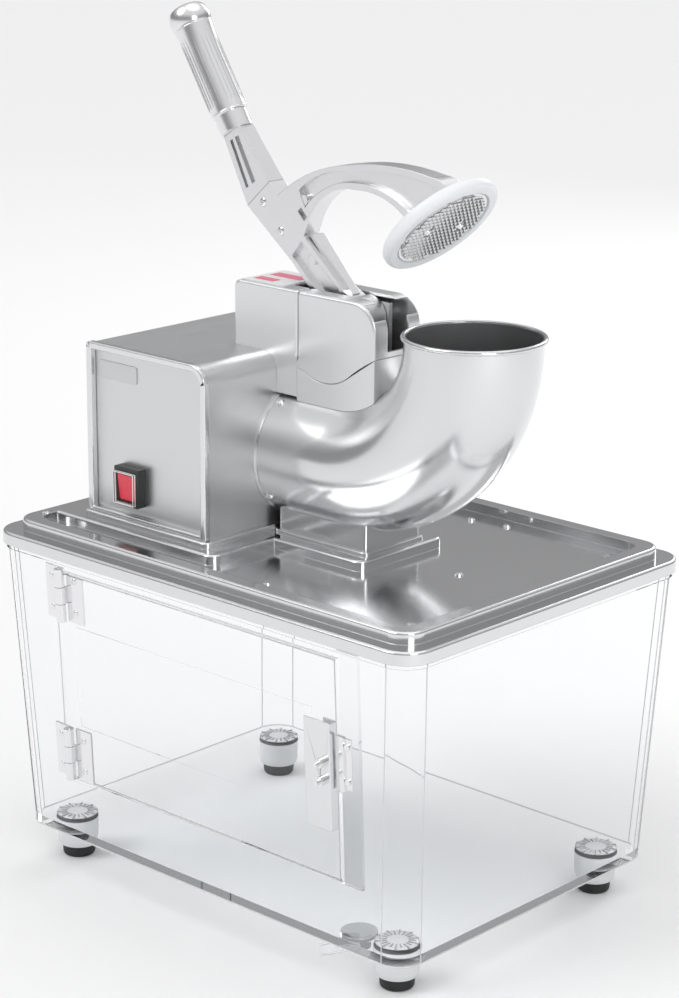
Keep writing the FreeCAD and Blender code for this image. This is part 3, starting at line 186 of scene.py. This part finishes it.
def clearMaterial(name, look):
    # clear plastic that lets the light of the room through to what stands behind
    material, tree, shader = newMaterial(name)
    shader.inputs["Base Color"].default_value = rgba(look["colour"])
    shader.inputs["Roughness"].default_value = look["roughness"]
    shader.inputs["Transmission Weight"].default_value = 1.0
    shader.inputs["IOR"].default_value = look["ior"]
    output = tree.nodes["Material Output"]
    path = tree.nodes.new("ShaderNodeLightPath")
    through = tree.nodes.new("ShaderNodeBsdfTransparent")
    through.inputs["Color"].default_value = rgba(look["shade"])
    mix = tree.nodes.new("ShaderNodeMixShader")
    trapped = tree.nodes.new("ShaderNodeMath")
    trapped.operation = "GREATER_THAN"
    trapped.inputs[1].default_value = 5.5
    either = tree.nodes.new("ShaderNodeMath")
    either.operation = "MAXIMUM"
    tree.links.new(path.outputs["Ray Depth"], trapped.inputs[0])
    tree.links.new(path.outputs["Is Shadow Ray"], either.inputs[0])
    tree.links.new(trapped.outputs[0], either.inputs[1])
    tree.links.new(either.outputs[0], mix.inputs[0])
    tree.links.new(shader.outputs[0], mix.inputs[1])
    tree.links.new(through.outputs[0], mix.inputs[2])
    tree.links.new(mix.outputs[0], output.inputs["Surface"])
    return material


finishes = {
    "satinSteel": {"colour": (0.74, 0.745, 0.75), "roughness": 0.34, "spread": 0.10,
                   "stretch": (1.0, 1.0, 22.0), "scale": 60.0, "bump": 0.06},
    "topSteel": {"colour": (0.80, 0.805, 0.81), "roughness": 0.22, "spread": 0.05,
                 "stretch": (18.0, 1.0, 1.0), "scale": 50.0, "bump": 0.03, "edge": 0.0008},
    "traySteel": {"colour": (0.76, 0.765, 0.77), "roughness": 0.15, "spread": 0.03,
                  "stretch": (18.0, 1.0, 1.0), "scale": 50.0, "bump": 0.01, "edge": 0.0008},
    "mirrorSteel": {"colour": (0.76, 0.765, 0.77), "roughness": 0.17, "spread": 0.04,
                    "metallic": 0.94, "scale": 30.0, "bump": 0.01, "edge": 0.0008},
    "castAlloy": {"colour": (0.80, 0.80, 0.81), "roughness": 0.30, "spread": 0.08,
                  "scale": 400.0, "bump": 0.10, "edge": 0.0009},
    "gripAlloy": {"colour": (0.84, 0.84, 0.85), "roughness": 0.22, "spread": 0.04,
                  "scale": 200.0, "bump": 0.03, "edge": 0.001},
    "coverAlloy": {"colour": (0.80, 0.805, 0.81), "roughness": 0.30, "spread": 0.05,
                   "metallic": 0.85, "scale": 500.0, "bump": 0.05, "edge": 0.001},
    "brightSteel": {"colour": (0.86, 0.86, 0.87), "roughness": 0.16, "spread": 0.05,
                    "scale": 100.0, "bump": 0.02, "edge": 0.0004},
    "motorBlack": {"colour": (0.05, 0.05, 0.055), "roughness": 0.5, "metallic": 0.2},
}
plainFinishes = {
    "whitePlastic": {"colour": (0.86, 0.88, 0.90), "roughness": 0.38, "edge": 0.001},
    "blackRubber": {"colour": (0.015, 0.015, 0.016), "roughness": 0.55, "edge": 0.001},
    "blackPlastic": {"colour": (0.018, 0.02, 0.02), "roughness": 0.3, "coat": 0.2},
    # painted glow: the red rocker gets a slight emission that lifts its red above the lamps' light
    "redPlastic": {"colour": (0.62, 0.02, 0.05), "roughness": 0.3, "coat": 0.3,
                   "paintedGlow": (0.7, 0.01, 0.04), "paintedGlowStrength": 0.25},
    "labelGrey": {"colour": (0.62, 0.63, 0.64), "roughness": 0.3, "metallic": 0.4,
                  "edge": 0.0003},
    "labelWhite": {"colour": (0.86, 0.86, 0.87), "roughness": 0.35, "edge": 0.0002},
    "labelRed": {"colour": (0.80, 0.20, 0.28), "roughness": 0.4, "edge": 0.0002},
    # painted highlight: pale colours for thin tubes that stand in for the light caught on the edges
    # of the clear plastic
    "paintedHighlightWhite": {"colour": (0.93, 0.93, 0.93), "roughness": 0.2, "coat": 0.5},
    "paintedHighlightGrey": {"colour": (0.70, 0.71, 0.72), "roughness": 0.2, "coat": 0.5},
    "frosted": {"colour": (0.74, 0.75, 0.76), "roughness": 0.3, "coat": 0.4},
    # painted shade: a darker copy of the frosted finish, for the ribs of the foot bosses
    "frostedPaintedShade": {"colour": (0.42, 0.43, 0.44), "roughness": 0.3, "coat": 0.4},
}
clearFinish = {"colour": (0.985, 0.99, 0.992), "roughness": 0.01, "ior": 1.16,
               "shade": (0.93, 0.935, 0.94)}

materials = {name: metalMaterial(name, look) for name, look in finishes.items()}
for name, look in plainFinishes.items():
    materials[name] = plainMaterial(name, look)
materials["clearPlastic"] = clearMaterial("clearPlastic", clearFinish)

nodeFinish = {
    "frosted": ["foot_cups"],
    "clearPlastic": ["bin_body", "drain_spout", "lid_gasket", "door_stop_strip",
                     "door_panel", "switch_cover"],
    "blackRubber": ["rubber_feet", "shaft_seal", "drive_belt"],
    "blackPlastic": ["switch_bezel", "power_inlet"],
    "redPlastic": ["rocker"],
    "whitePlastic": ["pusher_disc", "pivot_bush", "capacitor"],
    "labelGrey": ["name_plate"],
    "labelWhite": ["top_label"],
    "motorBlack": ["motor_can"],
    "traySteel": ["tray"],
    "topSteel": ["base_pan", "front_trim", "handle_plate"],
    "satinSteel": ["housing_wrap", "front_panel", "rear_panel", "motor_bracket",
                   "lever_bracket"],
    "mirrorSteel": ["elbow_hopper", "chute", "spike_plate"],
    "coverAlloy": ["rear_cover", "front_cheeks", "saddle_collar"],
    "gripAlloy": ["grip"],
    "castAlloy": ["lever_arm", "lever_bar", "bearing_housing", "motor_end_bells", "blade_disc",
                  "driven_pulley", "motor_pulley"],
}
finishOf = {node: finish for finish, names in nodeFinish.items() for node in names}
for name, node in nodes.items():
    node.data.materials.clear()
    node.data.materials.append(materials[finishOf.get(name, "brightSteel")])
print("stage: finishes set")

# helpers for added pieces


def addMesh(name, points, faces, finish, body, smooth=False):
    mesh = bpy.data.meshes.new(name)
    mesh.from_pydata([tuple(point) for point in points], [], faces)
    mesh.update()
    builder = bmesh.new()
    builder.from_mesh(mesh)
    bmesh.ops.recalc_face_normals(builder, faces=builder.faces)
    builder.to_mesh(mesh)
    builder.free()
    for face in mesh.polygons:
        face.use_smooth = smooth
    piece = bpy.data.objects.new(name, mesh)
    bpy.context.scene.collection.objects.link(piece)
    piece.data.materials.append(materials[finish])
    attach(piece, body)
    return piece


def addTube(name, points, radius, finish, body, closed=True):
    # a round bead along a line of points
    curve = bpy.data.curves.new(name, "CURVE")
    curve.dimensions = "3D"
    curve.bevel_depth = radius
    curve.bevel_resolution = 3
    spline = curve.splines.new("POLY")
    spline.points.add(len(points) - 1)
    for place, point in zip(spline.points, points):
        place.co = (point[0], point[1], point[2], 1.0)
    spline.use_cyclic_u = closed
    piece = bpy.data.objects.new(name, curve)
    bpy.context.scene.collection.objects.link(piece)
    piece.data.materials.append(materials[finish])
    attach(piece, body)
    return piece


def disc(centre, normal, radius, height, sides=24, dome=0.55):
    # a low domed head standing on a face
    normal = Vector(normal).normalized()
    side = normal.orthogonal().normalized()
    other = normal.cross(side)
    rings = [(1.0, 0.0), (1.0, 0.35), (0.86, 0.75), (dome, 0.95), (0.0, 1.0)]
    points = []
    faces = []
    for scale, level in rings[:-1]:
        for index in range(sides):
            angle = 2 * math.pi * index / sides
            points.append(Vector(centre) + side * (radius * scale * math.cos(angle))
                          + other * (radius * scale * math.sin(angle))
                          + normal * (height * level))
    points.append(Vector(centre) + normal * height)
    top = len(points) - 1
    for ring in range(3):
        for index in range(sides):
            after = (index + 1) % sides
            faces.append((ring * sides + index, ring * sides + after,
                          (ring + 1) * sides + after, (ring + 1) * sides + index))
    for index in range(sides):
        faces.append((3 * sides + index, 3 * sides + (index + 1) % sides, top))
    faces.append(tuple(range(sides))[::-1])
    return points, faces


def merged(parts):
    points = []
    faces = []
    for somePoints, someFaces in parts:
        start = len(points)
        points += list(somePoints)
        faces += [tuple(index + start for index in face) for face in someFaces]
    return points, faces


# spike plate: rows of small pyramids on the press's underside
spikes = {"pitch": 0.0042, "height": 0.0021, "margin": 0.012, "screwAt": 0.018,
          "screwClear": 0.0045}
discLow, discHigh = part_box("pusher_disc")
discCentre = (discLow + discHigh) / 2
pushWay = Vector((0.72537, 0.0, -0.68835))
radialWay = Vector((0.68835, 0.0, 0.72537))
acrossWay = Vector((0.0, 1.0, 0.0))
plateRadius = (discHigh.y - discLow.y) / 2 - spikes["margin"]
plateTop = discCentre + pushWay * 0.0046
spikeParts = []
count = int(plateRadius / spikes["pitch"]) + 1
for row in range(-count, count + 1):
    for column in range(-count, count + 1):
        u = row * spikes["pitch"]
        v = column * spikes["pitch"]
        reach = spikes["pitch"] * 0.46
        if math.hypot(u, v) + reach > plateRadius:
            continue
        if math.hypot(u, abs(v) - spikes["screwAt"]) < spikes["screwClear"]:
            continue
        middle = plateTop + radialWay * u + acrossWay * v
        corners = [middle + radialWay * (a * reach) + acrossWay * (b * reach)
                   for a, b in ((-1, -1), (1, -1), (1, 1), (-1, 1))]
        corners.append(middle + pushWay * spikes["height"])
        spikeParts.append((corners, [(0, 1, 4), (1, 2, 4), (2, 3, 4), (3, 0, 4), (3, 2, 1, 0)]))
spikePoints, spikeFaces = merged(spikeParts)
addMesh("spikeRows", spikePoints, spikeFaces, "mirrorSteel", "lever")
print("stage: spike rows", len(spikeParts))

# hinge screws on the leaves
hingeScrews = {"radius": 0.0024, "height": 0.0011}
doorAxis = Vector(joints["door_hinge"]["axis"])
doorSpot = Vector(joints["door_hinge"]["pos_m"])
wallUp = -doorAxis
wallOut = Vector((0.0, -wallUp.z, wallUp.y))


def onWall(x, along, out):
    # along the wall from the hinge's own middle height, out from the wall's face
    return Vector((x, doorSpot.y, doorSpot.z)) + wallUp * along + wallOut * (out - 0.0046)


for body, offset in (("stand", -0.0125), ("door", 0.0135)):
    heads = []
    for middle in (-0.0635, 0.0695):
        for step in (-0.013, 0.013):
            spot = onWall(doorSpot.x + offset, middle + step, 0.0015)
            heads.append(disc(spot, wallOut, hingeScrews["radius"], hingeScrews["height"], 16))
    screwPoints, screwFaces = merged(heads)
    addMesh(body + "HingeScrews", screwPoints, screwFaces, "brightSteel", body,
            True)
print("stage: hinge screws")

# painted highlight: thin pale tubes around the clear switch cover stand in for the light caught on
# its edges
coverEdgeHighlight = {"radius": 0.00045}
coverLow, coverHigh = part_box("switch_cover")
for label, y in (("Front", coverLow.y), ("Back", coverHigh.y - 0.0006)):
    ring = [(coverLow.x, y, coverLow.z), (coverHigh.x, y, coverLow.z),
            (coverHigh.x, y, coverHigh.z), (coverLow.x, y, coverHigh.z)]
    addTube("coverEdgeHighlight" + label, ring, coverEdgeHighlight["radius"], "paintedHighlightWhite", "stand")

# plain bars on the blank label
labelLow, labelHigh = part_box("top_label")
labelBar = {"inset": 0.004, "thick": 0.00025}
barPoints = []
barFaces = []
for index, (x0, x1, y0, y1) in enumerate(((0.12, 0.88, 0.55, 0.80), (0.12, 0.60, 0.15, 0.35))):
    lowX = labelLow.x + (labelHigh.x - labelLow.x) * x0
    highX = labelLow.x + (labelHigh.x - labelLow.x) * x1
    lowY = labelLow.y + (labelHigh.y - labelLow.y) * y0
    highY = labelLow.y + (labelHigh.y - labelLow.y) * y1
    z = labelHigh.z
    start = len(barPoints)
    for level in (z - 0.0001, z + labelBar["thick"]):
        barPoints += [(lowX, lowY, level), (highX, lowY, level), (highX, highY, level),
                      (lowX, highY, level)]
    quads = [(0, 1, 2, 3), (4, 5, 6, 7), (0, 1, 5, 4), (1, 2, 6, 5), (2, 3, 7, 6), (3, 0, 4, 7)]
    barFaces += [tuple(corner + start for corner in quad) for quad in quads]
addMesh("labelBars", barPoints, barFaces, "labelRed", "stand")
print("stage: switch and label")

# painted highlight: pale edge lines of the clear bin and its door, standing in for the light caught
# on those edges
binEdge = {"radius": 0.0006, "cornerSteps": 8, "cornerThin": 0.7, "lift": 0.0004, "drop": 0.002,
           "minCorner": 0.004, "near": 0.0015, "farOut": 0.2}
binNode = nodes["bin_body"]
binPoints = [binNode.matrix_world @ vertex.co for vertex in binNode.data.vertices]
binLow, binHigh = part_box("bin_body")


def roundedRing(level, halfX, halfY, corner):
    points = []
    steps = binEdge["cornerSteps"]
    for quarter, (signX, signY) in enumerate(((1, 1), (-1, 1), (-1, -1), (1, -1))):
        for index in range(steps + 1):
            angle = math.pi / 2 * (quarter + index / steps)
            points.append(((halfX - corner) * signX + corner * math.cos(angle),
                           (halfY - corner) * signY + corner * math.sin(angle), level))
    return points


def ringAt(level):
    near = [point for point in binPoints if abs(point.z - level) < binEdge["near"]]
    halfX = max(abs(point.x) for point in near)
    halfY = max(abs(point.y) for point in near)
    most = max(point.x + point.y for point in near)
    return halfX, halfY, max((halfX + halfY - most) / (2 - math.sqrt(2)),
                             binEdge["minCorner"])


floorLevel = binHigh.z
for point in binPoints:
    if abs(point.x) > binEdge["farOut"] and point.z < floorLevel:
        floorLevel = point.z
lowX, lowY, lowCorner = ringAt(floorLevel)
addTube("binEdgeHighlightLow", roundedRing(floorLevel + binEdge["lift"], lowX, lowY, lowCorner),
        binEdge["radius"], "paintedHighlightGrey", "stand")
highX, highY, highCorner = ringAt(binHigh.z)
for label, signX, signY in (("A", -1, -1), ("B", 1, -1), ("C", 1, 1), ("D", -1, 1)):
    for side in (0, 1):
        ends = []
        topLevel = binHigh.z - binEdge["drop"]
        for level, halfX, halfY, corner in ((floorLevel, lowX, lowY, lowCorner),
                                            (topLevel, highX, highY, highCorner)):
            ends.append((signX * (halfX - corner * side), signY * (halfY - corner * (1 - side)),
                         level))
        addTube("binCornerHighlight" + label + str(side), ends,
                binEdge["radius"] * binEdge["cornerThin"], "paintedHighlightGrey",
                "stand", False)
print("stage: bin edges", round(floorLevel, 4), round(lowX, 4), round(lowY, 4),
      round(lowCorner, 4))

# painted highlight: pale outline of the clear door, standing in for the light caught on its edges
doorEdgeHighlight = {"radius": 0.0005, "inset": 0.0004}
doorNode = nodes["door_panel"]
doorMarks = []
for vertex in doorNode.data.vertices:
    offset = doorNode.matrix_world @ vertex.co - doorSpot
    doorMarks.append((offset.x, offset.dot(wallUp), offset.dot(wallOut)))
doorOut = max(mark[2] for mark in doorMarks)
faceMarks = [mark for mark in doorMarks if mark[2] > doorOut - 0.0003]
leftX = doorSpot.x + min(mark[0] for mark in faceMarks) + doorEdgeHighlight["inset"]
rightX = doorSpot.x + max(mark[0] for mark in faceMarks) - doorEdgeHighlight["inset"]
lowAlong = min(mark[1] for mark in faceMarks) + doorEdgeHighlight["inset"]
highAlong = max(mark[1] for mark in faceMarks) - doorEdgeHighlight["inset"]
doorRing = [onWall(x, along, doorOut + 0.0046)
            for x, along in ((leftX, lowAlong), (rightX, lowAlong), (rightX, highAlong),
                             (leftX, highAlong))]
addTube("doorEdgeHighlight", doorRing, doorEdgeHighlight["radius"], "paintedHighlightGrey", "door")

# frosted ribbed bosses over the feet; the ribs take a darker copy of the frosted finish as painted
# shade
boss = {"radius": 0.0165, "inner": 0.0085, "ribs": 20, "height": 0.0012, "foot": 0.0135,
        "floor": 0.006}
footLow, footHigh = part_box("rubber_feet")
bossTop = floorLevel + boss["floor"]
bossParts = []
bossDiscs = []
for signX in (-1, 1):
    for signY in (-1, 1):
        centre = Vector((signX * (footHigh.x - boss["foot"]), signY * (footHigh.y - boss["foot"]),
                         bossTop))
        bossDiscs.append(disc(centre - Vector((0.0, 0.0, 0.0002)), (0.0, 0.0, 1.0),
                              boss["radius"], 0.0008, 28, 0.8))
        for rib in range(boss["ribs"]):
            angle = 2 * math.pi * rib / boss["ribs"]
            along = Vector((math.cos(angle), math.sin(angle), 0.0))
            across = Vector((-along.y, along.x, 0.0)) * 0.00045
            outer = boss["radius"] * (1.0 if rib % 2 else 0.82)
            base = [centre + along * boss["inner"] - across, centre + along * outer - across,
                    centre + along * outer + across, centre + along * boss["inner"] + across]
            top = [point + Vector((0.0, 0.0, boss["height"])) for point in base]
            bossParts.append((base + top, [(3, 2, 1, 0), (4, 5, 6, 7), (0, 1, 5, 4),
                                           (1, 2, 6, 5), (2, 3, 7, 6), (3, 0, 4, 7)]))
bossPoints, bossFaces = merged(bossParts)
addMesh("footBossRibs", bossPoints, bossFaces, "frostedPaintedShade", "stand")
bossPoints, bossFaces = merged(bossDiscs)
addMesh("footBosses", bossPoints, bossFaces, "frosted", "stand", True)
print("stage: foot bosses")

# grip: chrome collars, seam rings and fine flutes
gripLook = {"tilt": -32.5, "radius": 0.0145, "collarAt": 0.0155,
            "seamAt": 0.0885, "flutes": 26, "fluteFrom": 0.022, "fluteTo": 0.083}
pivotSpot = Vector(joints["lever_pivot"]["pos_m"])
gripRoot = pivotSpot + Vector((-0.1302, 0.0, 0.1266))
gripAxis = Vector((math.sin(math.radians(gripLook["tilt"])), 0.0,
                   math.cos(math.radians(gripLook["tilt"]))))
gripSide = Vector((0.0, 1.0, 0.0))
gripOther = gripAxis.cross(gripSide)


def gripRing(along, radius, steps=36):
    centre = gripRoot + gripAxis * along
    return [centre + gripSide * (radius * math.cos(2 * math.pi * index / steps))
            + gripOther * (radius * math.sin(2 * math.pi * index / steps))
            for index in range(steps)]


addTube("gripCollar", gripRing(gripLook["collarAt"], gripLook["radius"] - 0.0006), 0.0008,
        "brightSteel", "lever")
addTube("gripSeam", gripRing(gripLook["seamAt"], gripLook["radius"] + 0.0006), 0.0005,
        "brightSteel", "lever")
fluteParts = []
for index in range(gripLook["flutes"]):
    angle = 2 * math.pi * index / gripLook["flutes"]
    outward = gripSide * math.cos(angle) + gripOther * math.sin(angle)
    across = gripAxis.cross(outward) * 0.0004
    base = gripRoot + outward * (gripLook["radius"] - 0.0009)
    near = base + gripAxis * gripLook["fluteFrom"]
    far = base + gripAxis * gripLook["fluteTo"]
    high = outward * 0.0010
    fluteParts.append(([near - across, far - across, far + across, near + across,
                        near + high, far + high],
                       [(0, 1, 2, 3), (0, 4, 5, 1), (3, 2, 5, 4), (0, 3, 4), (1, 5, 2)]))
flutePoints, fluteFaces = merged(fluteParts)
addMesh("gripFlutes", flutePoints, fluteFaces, "gripAlloy", "lever")
print("stage: grip details")

# softened edges on pressed and cast pieces
softened = {"front_trim": 0.0012, "base_pan": 0.0009, "chute": 0.0008, "handle_plate": 0.0006}
for name, width in softened.items():
    piece = nodes[name]
    weld = piece.modifiers.new("weld", "WELD")
    weld.merge_threshold = 0.00002
    bevel = piece.modifiers.new("bevel", "BEVEL")
    bevel.width = width
    bevel.segments = 3
    bevel.limit_method = "ANGLE"
    bevel.angle_limit = math.radians(40)
    weighted = piece.modifiers.new("normals", "WEIGHTED_NORMAL")
    weighted.keep_sharp = False
print("stage: softened edges")

# room
room = {"floorSize": 80.0, "floorColour": (0.90, 0.90, 0.90), "worldStrength": 0.80}
floorHalf = room["floorSize"] / 2
floorMesh = bpy.data.meshes.new("floor")
floorMesh.from_pydata(
    [(-floorHalf, -floorHalf, 0), (floorHalf, -floorHalf, 0), (floorHalf, floorHalf, 0),
     (-floorHalf, floorHalf, 0)], [], [(0, 1, 2, 3)])
floor = bpy.data.objects.new("floor", floorMesh)
bpy.context.scene.collection.objects.link(floor)
floorMaterial, floorTree, floorShader = newMaterial("paleFloor")
floorShader.inputs["Base Color"].default_value = rgba(room["floorColour"])
floorShader.inputs["Roughness"].default_value = 0.6
floorShader.inputs["Specular IOR Level"].default_value = 0.2
floor.data.materials.append(floorMaterial)
floor.location.z = cadLow[2]

world = bpy.data.worlds.new("studio")
bpy.context.scene.world = world
world.use_nodes = True
worldTree = world.node_tree
background = worldTree.nodes["Background"]
skyCoords = worldTree.nodes.new("ShaderNodeTexCoord")
skySplit = worldTree.nodes.new("ShaderNodeSeparateXYZ")
skyRamp = worldTree.nodes.new("ShaderNodeValToRGB")
worldTree.links.new(skyCoords.outputs["Generated"], skySplit.inputs[0])
skyMap = worldTree.nodes.new("ShaderNodeMapRange")
skyMap.inputs["From Min"].default_value = -1.0
skyMap.inputs["From Max"].default_value = 1.0
worldTree.links.new(skySplit.outputs["Z"], skyMap.inputs["Value"])
worldTree.links.new(skyMap.outputs["Result"], skyRamp.inputs["Fac"])
stops = [(0.0, 0.72), (0.49, 0.55), (0.52, 0.38), (0.60, 0.34), (0.69, 0.52), (0.77, 0.95),
         (0.90, 1.0), (1.0, 0.55)]
ramp = skyRamp.color_ramp
ramp.elements[0].position = stops[0][0]
ramp.elements[1].position = stops[-1][0]
for position, level in stops[1:-1]:
    ramp.elements.new(position)
for element, (position, level) in zip(ramp.elements, stops):
    element.position = position
    element.color = (level, level, level * 1.01, 1.0)
worldTree.links.new(skyRamp.outputs["Color"], background.inputs["Color"])
background.inputs["Strength"].default_value = room["worldStrength"]

suns = {
    "key": {"from": (-1.3, -1.9, 2.3), "angle": 34.0, "power": 0.85},
    "fill": {"from": (0.3, 0.2, 3.0), "angle": 60.0, "power": 0.6},
}
for name, setting in suns.items():
    lamp = bpy.data.lights.new(name, "SUN")
    lamp.angle = math.radians(setting["angle"])
    lamp.energy = setting["power"]
    lampObject = bpy.data.objects.new(name, lamp)
    bpy.context.scene.collection.objects.link(lampObject)
    lampObject.rotation_euler = (-Vector(setting["from"])).to_track_quat("-Z", "Y").to_euler()

lights = {
    "side": {"at": (2.4, -0.9, 1.3), "size": 0.9, "power": 12.0},
    "back": {"at": (-0.6, 2.6, 1.5), "size": 1.2, "power": 12.0},
}
aim = Vector((0.0, 0.0, 0.3))
for name, setting in lights.items():
    lamp = bpy.data.lights.new(name, "AREA")
    lamp.shape = "SQUARE"
    lamp.size = setting["size"]
    lamp.energy = setting["power"]
    lampObject = bpy.data.objects.new(name, lamp)
    bpy.context.scene.collection.objects.link(lampObject)
    lampObject.location = setting["at"]
    lampObject.rotation_euler = (aim - lampObject.location).to_track_quat("-Z", "Y").to_euler()

view = {"azimuth": 42.219, "elevation": 16.185, "roll": 0.611, "target": (0.0194, 0.0167, 0.3088),
        "distance": 2.0446, "lens": 95.37, "shiftX": -0.0290, "shiftY": 0.0032}
azimuth = math.radians(view["azimuth"])
elevation = math.radians(view["elevation"])
roll = math.radians(view["roll"])
forward = Vector((-math.sin(azimuth) * math.cos(elevation),
                  math.cos(azimuth) * math.cos(elevation), -math.sin(elevation)))
right = Vector((math.cos(azimuth), math.sin(azimuth), 0.0))
up = right.cross(forward)
rolledRight = right * math.cos(roll) + up * math.sin(roll)
rolledUp = up * math.cos(roll) - right * math.sin(roll)
camera = bpy.data.cameras.new("camera")
camera.sensor_fit = "VERTICAL"
camera.sensor_height = 36.0
camera.lens = view["lens"]
camera.shift_x = view["shiftX"]
camera.shift_y = view["shiftY"]
cameraObject = bpy.data.objects.new("camera", camera)
bpy.context.scene.collection.objects.link(cameraObject)
turn = Matrix((rolledRight, rolledUp, -forward)).transposed()
cameraObject.matrix_world = (Matrix.Translation(Vector(view["target"]) - forward * view["distance"])
                             @ turn.to_4x4())
bpy.context.scene.camera = cameraObject
bpy.context.scene.view_settings.view_transform = "Standard"
print("stage: room and camera")
